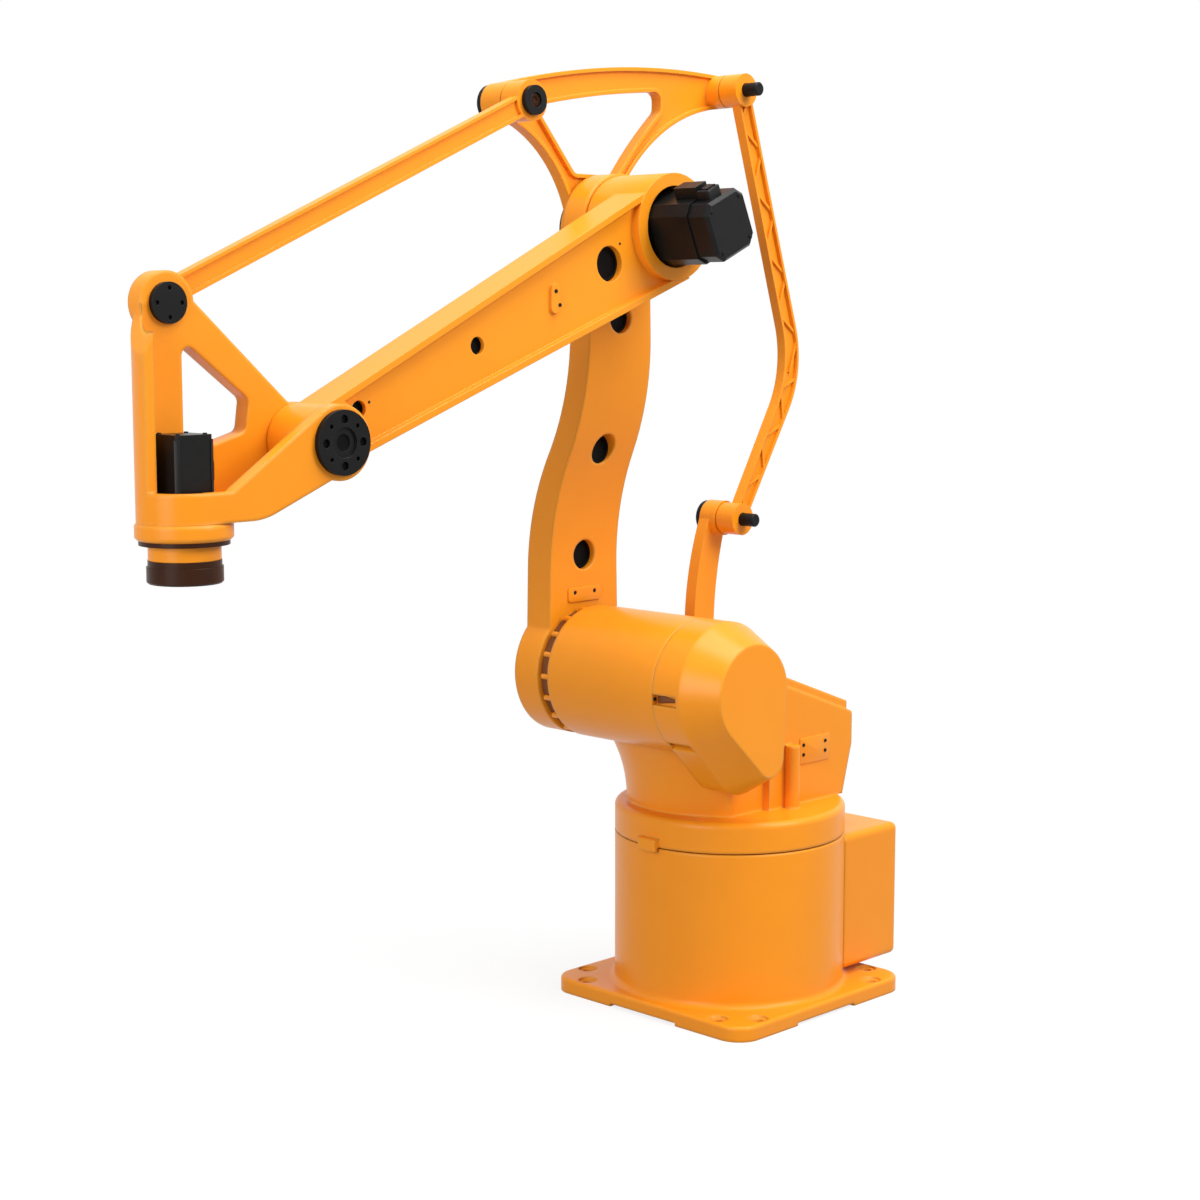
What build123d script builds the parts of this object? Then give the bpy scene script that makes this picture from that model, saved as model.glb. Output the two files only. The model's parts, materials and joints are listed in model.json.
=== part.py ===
from build123d import *
import math
import os

# Four axis palletizing robot arm with two parallelogram linkages, 1500 mm class.
# Millimetres. The origin is where the turning axis of the waist meets the mounting face.
# +X points forward along the arm, +Z is up, and +Y is the side with the motors.

# Linkage: lengths between pivots, seen from the side
SHOULDER_X = 147.0
SHOULDER_Z = 447.0
LOWER_ARM_LENGTH = 581.0
FOREARM_LENGTH = 609.0
FOREARM_DROP_ANGLE = 24.0
FRONT_CRANK_LENGTH = 225.0
FRONT_CRANK_ANGLE = 42.0
REAR_CRANK_LENGTH = 300.0
REAR_CRANK_ANGLE = 140.5
TOOL_REACH = 172.0
TOOL_DROP = 143.0

# Clearances
PIN_CLEARANCE = 0.3
FACE_CLEARANCE = 0.3
SIDE_CLEARANCE = 2.0

# Foot and column
FOOT_WIDTH = 345.0
FOOT_THICKNESS = 20.0
FOOT_CORNER_RADIUS = 34.0
FOOT_RELIEF_WIDTH = 118.0
FOOT_RELIEF_DEPTH = 34.0
FOOT_RELIEF_HEIGHT = 4.0
FOOT_EDGE_RADIUS = 4.0
FOOT_HOLE_TO_EDGE = 17.5
FOOT_HOLE_TO_SIDE = 54.5
FOOT_HOLE_RADIUS = 7.0
FOOT_SPOT_RADIUS = 13.0
FOOT_SPOT_DEPTH = 3.0
COLUMN_TO_FOOT_EDGE = 16.5
COLUMN_TOP = 225.0
COLUMN_ROOT_RADIUS = 8.0
BEARING_STEP = 8.0
BEARING_HEIGHT = 2.0

# Connector box behind the column
BOX_DEPTH = 64.0
BOX_HALF_WIDTH = 120.0
BOX_LIFT = 1.0
BOX_BELOW_COLUMN_TOP = 8.0
BOX_EDGE_RADIUS = 9.0

# Turret
RING_HEIGHT = 40.0
RING_EDGE_RADIUS = 8.0
NECK_STEP = 26.0
NECK_FAR_SHIFT = 14.0
NECK_NEAR = 80.0
NECK_TOP_FRONT = 78.0
NECK_TOP_BACK = 102.0
NECK_TOP_NEAR = 62.0
NECK_CORNER_RADIUS = 30.0
NECK_SHARES = (0.0, 0.14, 0.44, 1.0)
DRUM_RADIUS = 88.0
DRUM_FAR = -113.0
DRUM_NEAR = 75.0
HOUSING_HALF_WIDTH = 90.0
HOUSING_FRONT = 24.0
HOUSING_BACK_STEP = 6.0
HOUSING_FOOT_STEP = 25.0
HOUSING_BULGE_HEIGHT = 68.0
HOUSING_BACK_HEIGHT = 44.0
HOUSING_BELOW_SHOULDER = 13.0
HOUSING_EDGE_RADIUS = 6.0
LID_THICKNESS = 12.0
LID_BACK_STEP = 9.0
LID_SIDE_STEP = 3.0
TUBE_RADIUS = 10.0
TUBE_HEIGHT = 84.0
TUBE_X = -14.0
TUBE_STAND_OFF = 8.0
MARK_WIDTH = 30.0
MARK_DEPTH = 11.0
MARK_HEIGHT = 12.0
MARK_OVERHANG = 5.0
MARK_ROOM = 5.0
MARK_EDGE_RADIUS = 2.0

# Cover of the shoulder motor
COVER_STRAIGHT_END = 120.0
COVER_FACE = 168.0
COVER_FACE_RADIUS = 64.0
LOBE_BACK = 34.0
LOBE_DROP = 87.0
LOBE_RADIUS = 52.0
LOBE_FACE_RADIUS = 24.0
COVER_NOTCH_WIDTH = 14.0
COVER_NOTCH_LENGTH = 40.0
COVER_NOTCH_DEPTH = 9.0
COVER_NOTCH_ANGLES = (-4.0, -52.0)

# Post that carries the lower end of the rear link
POST_FAR = -113.0
POST_BODY_NEAR = -95.0
POST_NEAR = -86.0
POST_BOSS_RADIUS = 24.0
POST_TOP_BACK = 13.0
POST_FOOT_FORWARD = 32.0
POST_FOOT_BELOW_SHOULDER = 117.0
POST_FOOT_HALF_WIDTH = 20.0
POST_WAIST_FRONT = 17.5
POST_WAIST_BACK = 23.0

# Lower arm
ARM_FOOT_RADIUS = 87.0
ARM_FOOT_ROOM = 8.0
ARM_FOOT_FAR = -176.0
ARM_FOOT_NEAR = -133.0
ARM_HEAD_RADIUS = 70.0
ARM_HEAD_FAR = -101.0
ARM_HEAD_NEAR = -65.0
ARM_FOOT_HALF_WIDTH = 65.0
ARM_HEAD_HALF_WIDTH = 54.0
BEND_FROM_PIVOT = 138.0
ARM_HOLE_RADIUS = 20.0
ARM_HOLE_FROM_SHOULDER = 154.0
ARM_HOLE_FROM_ELBOW = 114.0
ARM_HOLE_RISE = 6.0
ARM_HOLE_DEPTH = 27.0
REDUCER_RADIUS = 80.0

# Elbow
ELBOW_SHAFT_RADIUS = 30.0
ELBOW_CAP_RADIUS = 48.0
ELBOW_REDUCER_RADIUS = 58.0
BARREL_RADIUS = 67.0
BARREL_BORE_RADIUS = 51.0
BARREL_FAR = -62.0
BARREL_NEAR = 31.0
BARREL_BORE_DEPTH = 62.0

# Forearm beam, measured along and square to the line from elbow to wrist
BEAM_FAR = -24.0
BEAM_NEAR = 29.0
BEAM_TOP_AT_ELBOW = 60.0
BEAM_TOP_AT_WRIST = 37.0
BEAM_BOTTOM_AT_ELBOW = 70.0
BEAM_BOTTOM_AT_WRIST = 33.0
FLANGE_THICKNESS = 8.0
WEB_RECESS = 10.0
WRIST_HUB_RADIUS = 41.0
WRIST_HUB_FAR = -28.0
WRIST_HUB_NEAR = 33.0
LARGE_HOLE_ALONG = 117.0
LARGE_HOLE_RADIUS = 22.0
SMALL_HOLE_ALONG = 358.0
SMALL_HOLE_RADIUS = 10.5
WRIST_HOLE_FROM_WRIST = 60.0
WRIST_HOLE_ACROSS = 10.0
WRIST_HOLE_RADIUS = 10.0
BEAM_HOLE_DEPTH = 34.0
PAD_ALONG = 222.0
PAD_LENGTH = 36.0
PAD_WIDTH = 14.0
PAD_HEIGHT = 4.0

# Elbow motor
MOTOR_SIDE = 80.0
MOTOR_CHAMFER = 12.0
MOTOR_BODY_NEAR = 92.0
MOTOR_CAP_NEAR = 124.0
MOTOR_CAP_SIDE = 76.0
MOTOR_CAP_CHAMFER = 4.0
PLUG_SIDE = 22.0
PLUG_HEIGHT = 14.0
PLUG_LENGTH = 36.0

# Link triangle
TRIANGLE_FAR = -121.0
TRIANGLE_NEAR = -104.0
TRIANGLE_HUB_RADIUS = 54.0
TRIANGLE_BOSS_NEAR = -86.0
TOP_BAR_CROWN = 15.0
REAR_LEG_ROOT_ANGLE = 130.0
REAR_LEG_BOW = 28.0
FRONT_LEG_ROOT_ANGLE = 26.0
FRONT_LEG_PIN_ANGLE = 235.0
FRONT_LEG_BOW = 17.0
WINDOW_FROM_FRONT_PIN = 54.0
WINDOW_FROM_REAR_PIN = 115.0
WINDOW_BELOW_REAR_PIN = 7.0
WINDOW_REAR_HEIGHT = 26.0
WINDOW_REAR_BOW = 3.0
WINDOW_TOP_BOW = 4.0
WINDOW_ABOVE_ELBOW = 70.0
WINDOW_REAR_ROOT = -34.0
WINDOW_FRONT_ROOT = 44.0
WINDOW_CORNER_RADIUS = 11.0
TRIANGLE_LIP = 5.0
TRIANGLE_POCKET = 5.0

# Links and their pins
FRONT_BOSS_RADIUS = 25.0
REAR_BOSS_RADIUS = 22.0
PIN_RADIUS = 9.0
PIN_CHAMFER = 1.5
LINK_FAR = -84.0
LINK_NEAR = -54.0
PIN_STICK_OUT = 24.0
PIN_CAP_STEP = 1.5
PIN_CAP_THICKNESS = 8.0
NUT_RADIUS = 18.0
NUT_THICKNESS = 7.0
NUT_BORE_DEPTH = 5.0
REAR_BAR_FAR = -73.0
REAR_BAR_NEAR = -59.0
REAR_LINK_KNEE_BACK = 121.0
REAR_LINK_KNEE_SHARE = 0.648
REAR_LINK_KNEE_RADIUS = 140.0
REAR_LINK_TOP_WIDTH = 26.0
REAR_LINK_KNEE_WIDTH = 31.0
REAR_LINK_BOTTOM_WIDTH = 24.0
FRONT_LINK_HEIGHT = 26.0
FRONT_TONGUE_FAR = -68.0
FRONT_TONGUE_NEAR = -52.0
FRONT_TONGUE_RADIUS = 20.0
LINK_LIP = 4.0
LINK_POCKET = 5.0
FRONT_LINK_POCKET = 4.0
RIB_WIDTH = 3.5
RIB_BELOW_FACE = 1.5
RIB_STEP = 42.0

# Wrist
WRIST_HALF_WIDTH = 50.0
WRIST_PLATE_NEAR = -29.0
WRIST_EAR_FAR = 34.0
WRIST_BOSS_RADIUS = 34.0
WRIST_EAR_RADIUS = 42.0
WRIST_SHAFT_RADIUS = 15.0
WRIST_WALL = 12.0
WRIST_PLATE_EDGE = 24.0
FRONT_LIP_NEAR = 7.0
FRONT_LIP_FROM_PIN = 33.0
FRONT_LIP_BELOW_PIN = 12.0
FRONT_LIP_SLOPE = 40.0
BAY_RIM_BELOW_PIVOT = 46.0
BAY_FLOOR_BELOW_PIVOT = 64.0
BAY_BACK_FROM_PIVOT = 58.0
WRIST_UNDERSIDE = 78.0
RIM_SLOPE_FROM_TOOL = 28.0
UNDERSIDE_FROM_TOOL = 68.0
UNDERSIDE_BEND_RADIUS = 85.0
EAR_TOP_ANGLE = 60.0
EAR_BOTTOM_ANGLE = -73.0
PLATE_WINDOW_FRONT = 22.0
PLATE_WINDOW_FOOT = 62.0
PLATE_WINDOW_LOW_BACK = 103.0
PLATE_WINDOW_BACK = 108.0
PLATE_WINDOW_LOW_RISE = 12.0
PLATE_WINDOW_REAR_RISE = 47.0
PLATE_WINDOW_TOP_RISE = 113.0
PLATE_WINDOW_CORNER = 9.0
COLLAR_RADIUS = 52.0
COLLAR_BELOW_PIVOT = 97.0
COLLAR_CHAMFER = 3.0
LINK_CAP_RADIUS = 22.0
LINK_CAP_THICKNESS = 6.0
LINK_CAP_CIRCLE_RADIUS = 15.5
WRIST_CAP_RADIUS = 36.0
WRIST_CAP_THICKNESS = 7.0
WRIST_CAP_STEP_RADIUS = 17.0
WRIST_CAP_STEP_DEPTH = 3.0
WRIST_CAP_BORE_RADIUS = 9.5
WRIST_CAP_BORE_DEPTH = 5.0
WRIST_CAP_CIRCLE_RADIUS = 25.5
WRIST_CAP_HOLE_RADIUS = 5.0
CAP_HOLE_RADIUS = 2.6
CAP_HOLE_DEPTH = 4.0
CAP_HOLES = 4
WRIST_MOTOR_SIDE = 46.0
WRIST_MOTOR_TOP = 14.0
WRIST_MOTOR_CHAMFER = 2.5

# Tool flange
SEAL_RADIUS = 48.0
SEAL_HEIGHT = 5.0
NECK_FLANGE_RADIUS = 38.5
TOOL_FLANGE_RADIUS = 40.5
TOOL_FLANGE_HEIGHT = 25.0
TOOL_SHOULDER_RADIUS = 39.0
TOOL_SHOULDER_HEIGHT = 7.0
TOOL_CHAMFER = 2.0
TOOL_BOLT_CIRCLE_DIAMETER = 56.0
TOOL_HOLES = 6
TOOL_HOLE_RADIUS = 3.0
TOOL_HOLE_DEPTH = 12.0
TOOL_PILOT_RADIUS = 15.0
TOOL_PILOT_DEPTH = 6.0


def polar(length, angle):
    return Vector(length * math.cos(math.radians(angle)), length * math.sin(math.radians(angle)))


# Pivots as points of the side plane: first X, then Z
SHOULDER = Vector(SHOULDER_X, SHOULDER_Z)
ELBOW = SHOULDER + Vector(0, LOWER_ARM_LENGTH)
WRIST = ELBOW + polar(FOREARM_LENGTH, -FOREARM_DROP_ANGLE)
FRONT_PIN = ELBOW + polar(FRONT_CRANK_LENGTH, FRONT_CRANK_ANGLE)
WRIST_PIN = WRIST + polar(FRONT_CRANK_LENGTH, FRONT_CRANK_ANGLE)
POST_PIN = SHOULDER + polar(REAR_CRANK_LENGTH, REAR_CRANK_ANGLE)
REAR_PIN = ELBOW + polar(REAR_CRANK_LENGTH, REAR_CRANK_ANGLE)

# Places that follow from the sizes above
TOOL_X = WRIST.X + TOOL_REACH
TOOL_Z = WRIST.Y - TOOL_DROP
COLUMN_RADIUS = FOOT_WIDTH / 2 - COLUMN_TO_FOOT_EDGE
TURRET_BOTTOM = COLUMN_TOP + BEARING_HEIGHT
RING_TOP = TURRET_BOTTOM + RING_HEIGHT
BOX_BOTTOM = FOOT_THICKNESS + COLUMN_ROOT_RADIUS + BOX_LIFT
BOX_TOP = COLUMN_TOP - BOX_BELOW_COLUMN_TOP
COLLAR_BOTTOM = WRIST.Y - COLLAR_BELOW_PIVOT
BAY_FLOOR = WRIST.Y - BAY_FLOOR_BELOW_PIVOT
BAY_RIM = WRIST.Y - BAY_RIM_BELOW_PIVOT
BAY_BOTTOM = WRIST.Y - WRIST_UNDERSIDE
BAY_BACK = WRIST.X + BAY_BACK_FROM_PIVOT
BEAM_WEB = BEAM_NEAR - WEB_RECESS
FROM_BELOW = (Align.CENTER, Align.CENTER, Align.MIN)


def slab(face, y_low, y_high):
    """Push a face of the side plane out between two planes across the arm."""
    return Pos(0, y_high, 0) * extrude(Plane.XZ * face, amount=y_high - y_low)


def side_section(face, y):
    return Pos(0, y, 0) * (Plane.XZ * face)


def round_at(point, radius):
    return Pos(point.X, point.Y) * Circle(radius)


def disc(point, radius, y_low, y_high):
    return slab(round_at(point, radius), y_low, y_high)


def tower(x, radius, z_low, z_high):
    """Upright cylinder on the middle plane of the arm."""
    return Pos(x, 0, z_low) * extrude(Circle(radius), z_high - z_low)


def strap(first, first_radius, second, second_radius):
    """Two circles and the straight tangents that join them."""
    return make_hull(round_at(first, first_radius).edges() + round_at(second, second_radius).edges())


def outline(*points):
    return make_face(Polyline(*[(p.X, p.Y) for p in points], close=True))


def line(first, second):
    return Line((first.X, first.Y), (second.X, second.Y))


def bowed(first, second, bow):
    """Arc from one point to another that swells by the bow to the left of its chord."""
    chord = second - first
    middle = (first + second) * 0.5 + Vector(-chord.Y, chord.X).normalized() * bow
    return ThreePointArc((first.X, first.Y), (middle.X, middle.Y), (second.X, second.Y))


def base_casting():
    foot = extrude(RectangleRounded(FOOT_WIDTH, FOOT_WIDTH, FOOT_CORNER_RADIUS), FOOT_THICKNESS)
    foot = fillet(foot.faces().sort_by(Axis.Z)[-1].edges(), FOOT_EDGE_RADIUS)
    body = foot + extrude(Circle(COLUMN_RADIUS), COLUMN_TOP)
    rounds = body.edges().filter_by(GeomType.CIRCLE).filter_by(lambda e: math.isclose(e.radius, COLUMN_RADIUS))
    root = rounds.filter_by(lambda e: math.isclose(e.center().Z, FOOT_THICKNESS))
    body = fillet(root, COLUMN_ROOT_RADIUS)
    relief = Box(FOOT_RELIEF_DEPTH, FOOT_RELIEF_WIDTH, FOOT_RELIEF_HEIGHT,
                 align=(Align.MAX, Align.CENTER, Align.MIN))
    hole = Cylinder(FOOT_HOLE_RADIUS, FOOT_THICKNESS, align=FROM_BELOW)
    spot = Pos(0, 0, FOOT_THICKNESS - FOOT_SPOT_DEPTH) * Cylinder(
        FOOT_SPOT_RADIUS, FOOT_SPOT_DEPTH, align=FROM_BELOW)
    long_way = FOOT_WIDTH / 2 - FOOT_HOLE_TO_EDGE
    short_way = FOOT_WIDTH / 2 - FOOT_HOLE_TO_SIDE
    for side in (0, 90, 180, 270):
        body -= Rot(0, 0, side) * Pos(FOOT_WIDTH / 2, 0, 0) * relief
        for y in (-short_way, short_way):
            place = Rot(0, 0, side) * Pos(long_way, y, 0)
            body -= place * hole
            body -= place * spot
    return body


def slew_bearing():
    return tower(0, COLUMN_RADIUS - BEARING_STEP, COLUMN_TOP, TURRET_BOTTOM)


def connector_box():
    back = COLUMN_RADIUS + BOX_DEPTH
    box = Pos(-back, 0, BOX_BOTTOM) * Box(
        back, 2 * BOX_HALF_WIDTH, BOX_TOP - BOX_BOTTOM, align=(Align.MIN, Align.CENTER, Align.MIN))
    box = fillet(box.edges().filter_by(lambda e: e.center().X < -BOX_EDGE_RADIUS), BOX_EDGE_RADIUS)
    return box - tower(0, COLUMN_RADIUS, 0, COLUMN_TOP)


def neck_section(share):
    """One level of the neck, from round on the ring to square under the drum."""
    turn = share * share
    top_x = SHOULDER_X + (NECK_TOP_FRONT - NECK_TOP_BACK) / 2
    top_y = (NECK_TOP_NEAR + DRUM_FAR) / 2
    wide = 2 * (COLUMN_RADIUS - NECK_STEP)
    length = wide + (NECK_TOP_FRONT + NECK_TOP_BACK - wide) * turn
    width = wide + (NECK_TOP_NEAR - DRUM_FAR - wide) * turn
    foot_corner = wide / 2 - FACE_CLEARANCE
    corner = foot_corner + (NECK_CORNER_RADIUS - foot_corner) * turn
    z = RING_TOP + (SHOULDER_Z - RING_TOP) * share
    y = top_y * turn - NECK_FAR_SHIFT * (1 - turn)
    return Pos(top_x * turn, y, z) * RectangleRounded(length, width, corner)


def neck():
    """Saddle from the ring to the drum, flat on the motor side to leave room for the cover."""
    saddle = loft([neck_section(share) for share in NECK_SHARES])
    near_side = Pos(0, NECK_NEAR, RING_TOP) * Box(
        4 * COLUMN_RADIUS, COLUMN_RADIUS, SHOULDER_Z, align=(Align.CENTER, Align.MIN, Align.MIN))
    return saddle - near_side


def rear_housing():
    back = COLUMN_RADIUS - HOUSING_BACK_STEP
    foot_back = COLUMN_RADIUS - HOUSING_FOOT_STEP
    bulge = RING_TOP + HOUSING_BULGE_HEIGHT
    back_top = bulge + HOUSING_BACK_HEIGHT
    front_top = SHOULDER_Z - HOUSING_BELOW_SHOULDER
    up = Vector(0, LID_THICKNESS)
    slope = (Vector(-back, back_top), Vector(0, front_top), Vector(HOUSING_FRONT, front_top))
    body = slab(outline(Vector(-foot_back, RING_TOP), Vector(-back, bulge), *slope,
                        Vector(HOUSING_FRONT, RING_TOP)), -HOUSING_HALF_WIDTH, HOUSING_HALF_WIDTH)
    body = fillet(body.edges().filter_by(Axis.Y).group_by(Axis.X)[0], HOUSING_EDGE_RADIUS)
    along = (slope[1] - slope[0]).normalized() * LID_BACK_STEP
    lid = outline(slope[0] + along, slope[0] + along + up, slope[1] + up, slope[2] + up, slope[2], slope[1])
    lid_half = HOUSING_HALF_WIDTH - LID_SIDE_STEP
    return body + slab(lid, -lid_half, lid_half)


def zero_mark():
    """Block on the front of the ring that hangs over the top of the column."""
    block = Pos(COLUMN_RADIUS, 0, TURRET_BOTTOM - MARK_OVERHANG) * Box(
        2 * MARK_DEPTH, MARK_WIDTH, MARK_OVERHANG + MARK_HEIGHT, align=FROM_BELOW)
    block = fillet(block.faces().sort_by(Axis.X)[-1].edges(), MARK_EDGE_RADIUS)
    room = tower(0, COLUMN_RADIUS + MARK_ROOM, COLUMN_TOP - MARK_OVERHANG, TURRET_BOTTOM)
    return block - room


def turret_casting():
    ring = tower(0, COLUMN_RADIUS, TURRET_BOTTOM, RING_TOP)
    ring = fillet(ring.edges().sort_by(Axis.Z)[-1], RING_EDGE_RADIUS)
    drum = disc(SHOULDER, DRUM_RADIUS, DRUM_FAR, DRUM_NEAR)
    tube = Pos(TUBE_X, HOUSING_HALF_WIDTH + TUBE_STAND_OFF, RING_TOP) * extrude(
        Circle(TUBE_RADIUS), TUBE_HEIGHT)
    cover_space = slab(cover_outline(DRUM_RADIUS, LOBE_RADIUS), DRUM_NEAR, COVER_FACE)
    arm_space = disc(SHOULDER, ARM_FOOT_RADIUS + ARM_FOOT_ROOM, ARM_FOOT_FAR, DRUM_FAR)
    upper = (neck() + rear_housing() + tube) - cover_space - arm_space - post_foot()
    return ring + zero_mark() + upper + drum


def cover_outline(axis_radius, lobe_radius):
    return strap(SHOULDER, axis_radius, SHOULDER + Vector(-LOBE_BACK, -LOBE_DROP), lobe_radius)


def shoulder_motor_cover():
    wide = cover_outline(DRUM_RADIUS, LOBE_RADIUS)
    narrow = cover_outline(COVER_FACE_RADIUS, LOBE_FACE_RADIUS)
    cover = slab(wide, DRUM_NEAR, COVER_STRAIGHT_END)
    cover += loft([side_section(wide, COVER_STRAIGHT_END), side_section(narrow, COVER_FACE)])
    notch = Rectangle(2 * COVER_NOTCH_DEPTH, COVER_NOTCH_WIDTH)
    for angle in COVER_NOTCH_ANGLES:
        edge = SHOULDER + polar(DRUM_RADIUS, angle)
        place = Pos(edge.X, edge.Y) * Rot(0, 0, angle)
        cover -= slab(place * notch, DRUM_NEAR, DRUM_NEAR + COVER_NOTCH_LENGTH)
    return cover


def post_foot():
    """Block at the foot of the post that is let into the housing."""
    foot = Vector(POST_PIN.X + POST_FOOT_FORWARD, SHOULDER_Z)
    block = Pos(foot.X, foot.Y) * Rectangle(
        2 * POST_FOOT_HALF_WIDTH, POST_FOOT_BELOW_SHOULDER, align=(Align.CENTER, Align.MAX))
    return slab(block, POST_FAR, POST_NEAR)


def link_post():
    foot = POST_PIN.X + POST_FOOT_FORWARD
    waist = (SHOULDER_Z + POST_PIN.Y) / 2
    front, back = foot + POST_FOOT_HALF_WIDTH, foot - POST_FOOT_HALF_WIDTH
    top_front, top_back = POST_PIN.X + POST_BOSS_RADIUS, POST_PIN.X - POST_TOP_BACK
    stem = make_face([
        Line((back, SHOULDER_Z), (front, SHOULDER_Z)),
        ThreePointArc((front, SHOULDER_Z), (foot + POST_WAIST_FRONT, waist), (top_front, POST_PIN.Y)),
        Line((top_front, POST_PIN.Y), (top_back, POST_PIN.Y)),
        ThreePointArc((top_back, POST_PIN.Y), (foot - POST_WAIST_BACK, waist), (back, SHOULDER_Z)),
    ])
    post = post_foot() + slab(stem, POST_FAR, POST_BODY_NEAR)
    post += disc(POST_PIN, POST_BOSS_RADIUS, POST_FAR, POST_NEAR)
    return post - disc(POST_PIN, PIN_RADIUS, POST_FAR, POST_NEAR)


def link_pin(point, boss_radius, y_far, y_near):
    """Plain pin with a cap on its far end that all but covers the boss."""
    pin = disc(point, PIN_RADIUS, y_far, y_near)
    pin = chamfer(pin.edges().sort_by(Axis.Y)[-1], PIN_CHAMFER)
    return pin + disc(point, boss_radius - PIN_CAP_STEP, y_far - PIN_CAP_THICKNESS, y_far)


def post_pin():
    return link_pin(POST_PIN, POST_BOSS_RADIUS, POST_FAR, LINK_NEAR + PIN_STICK_OUT)


def rear_triangle_pin():
    return link_pin(REAR_PIN, REAR_BOSS_RADIUS, TRIANGLE_FAR, LINK_NEAR + PIN_STICK_OUT)


def front_triangle_pin():
    nut_far = LINK_NEAR + FACE_CLEARANCE
    nut_near = nut_far + NUT_THICKNESS
    nut = disc(FRONT_PIN, NUT_RADIUS, nut_far, nut_near)
    pin = link_pin(FRONT_PIN, FRONT_BOSS_RADIUS, TRIANGLE_FAR, nut_near) + nut
    return pin - disc(FRONT_PIN, PIN_RADIUS, nut_near - NUT_BORE_DEPTH, nut_near)


def lower_arm_strip():
    """The arm seen along X: upright at both ends, with an S bend towards the motor side."""
    bend_low = SHOULDER.Y + BEND_FROM_PIVOT
    bend_high = ELBOW.Y - BEND_FROM_PIVOT

    def edge(y_low, y_high):
        middle = ((y_low + y_high) / 2, (bend_low + bend_high) / 2)
        low = TangentArc((y_low, bend_low), middle, tangent=(0, 1))
        high = TangentArc((y_high, bend_high), middle, tangent=(0, -1))
        return low, high
    bottom = SHOULDER.Y - ARM_FOOT_RADIUS
    top = ELBOW.Y + ARM_HEAD_RADIUS
    near_low, near_high = edge(ARM_FOOT_NEAR, ARM_HEAD_NEAR)
    far_low, far_high = edge(ARM_FOOT_FAR, ARM_HEAD_FAR)
    face = make_face([
        Line((ARM_FOOT_FAR, bottom), (ARM_FOOT_NEAR, bottom)),
        Line((ARM_FOOT_NEAR, bottom), (ARM_FOOT_NEAR, bend_low)), near_low, near_high,
        Line((ARM_HEAD_NEAR, bend_high), (ARM_HEAD_NEAR, top)),
        Line((ARM_HEAD_NEAR, top), (ARM_HEAD_FAR, top)),
        Line((ARM_HEAD_FAR, top), (ARM_HEAD_FAR, bend_high)), far_high, far_low,
        Line((ARM_FOOT_FAR, bend_low), (ARM_FOOT_FAR, bottom)),
    ])
    return extrude(Plane.YZ * face, amount=SHOULDER.X + ARM_FOOT_RADIUS)


def lower_arm_casting():
    foot_half, head_half = ARM_FOOT_HALF_WIDTH, ARM_HEAD_HALF_WIDTH
    stem = outline(SHOULDER + Vector(-foot_half, 0), SHOULDER + Vector(foot_half, 0),
                   ELBOW + Vector(head_half, 0), ELBOW + Vector(-head_half, 0))
    side = stem + round_at(SHOULDER, ARM_FOOT_RADIUS) + round_at(ELBOW, ARM_HEAD_RADIUS)
    arm = lower_arm_strip() & slab(side, ARM_FOOT_FAR, ARM_HEAD_NEAR)
    holes = ((SHOULDER + Vector(0, ARM_HOLE_FROM_SHOULDER), ARM_FOOT_NEAR),
             ((SHOULDER + ELBOW) * 0.5 + Vector(0, ARM_HOLE_RISE), (ARM_FOOT_NEAR + ARM_HEAD_NEAR) / 2),
             (ELBOW - Vector(0, ARM_HOLE_FROM_ELBOW), ARM_HEAD_NEAR))
    for point, face_y in holes:
        arm -= disc(point, ARM_HOLE_RADIUS, face_y - ARM_HOLE_DEPTH, ARM_HEAD_NEAR)
    return arm


def shoulder_reducer():
    return disc(SHOULDER, REDUCER_RADIUS, ARM_FOOT_NEAR + FACE_CLEARANCE, DRUM_FAR)


def elbow_reducer():
    return disc(ELBOW, ELBOW_REDUCER_RADIUS, ARM_HEAD_NEAR, BARREL_FAR - FACE_CLEARANCE)


def elbow_shaft():
    cap_near = TRIANGLE_FAR - FACE_CLEARANCE
    shaft = disc(ELBOW, ELBOW_SHAFT_RADIUS, cap_near, ARM_HEAD_FAR)
    return shaft + disc(ELBOW, ELBOW_CAP_RADIUS, cap_near - PIN_CAP_THICKNESS, cap_near)


def on_beam(along, across):
    """A point of the side plane from its place along and square to the forearm."""
    return ELBOW + polar(along, -FOREARM_DROP_ANGLE) + polar(across, 90 - FOREARM_DROP_ANGLE)


def beam_outline(inset):
    return outline(on_beam(0, BEAM_TOP_AT_ELBOW - inset), on_beam(FOREARM_LENGTH, BEAM_TOP_AT_WRIST - inset),
                   on_beam(FOREARM_LENGTH, -BEAM_BOTTOM_AT_WRIST + inset),
                   on_beam(0, -BEAM_BOTTOM_AT_ELBOW + inset))


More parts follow.
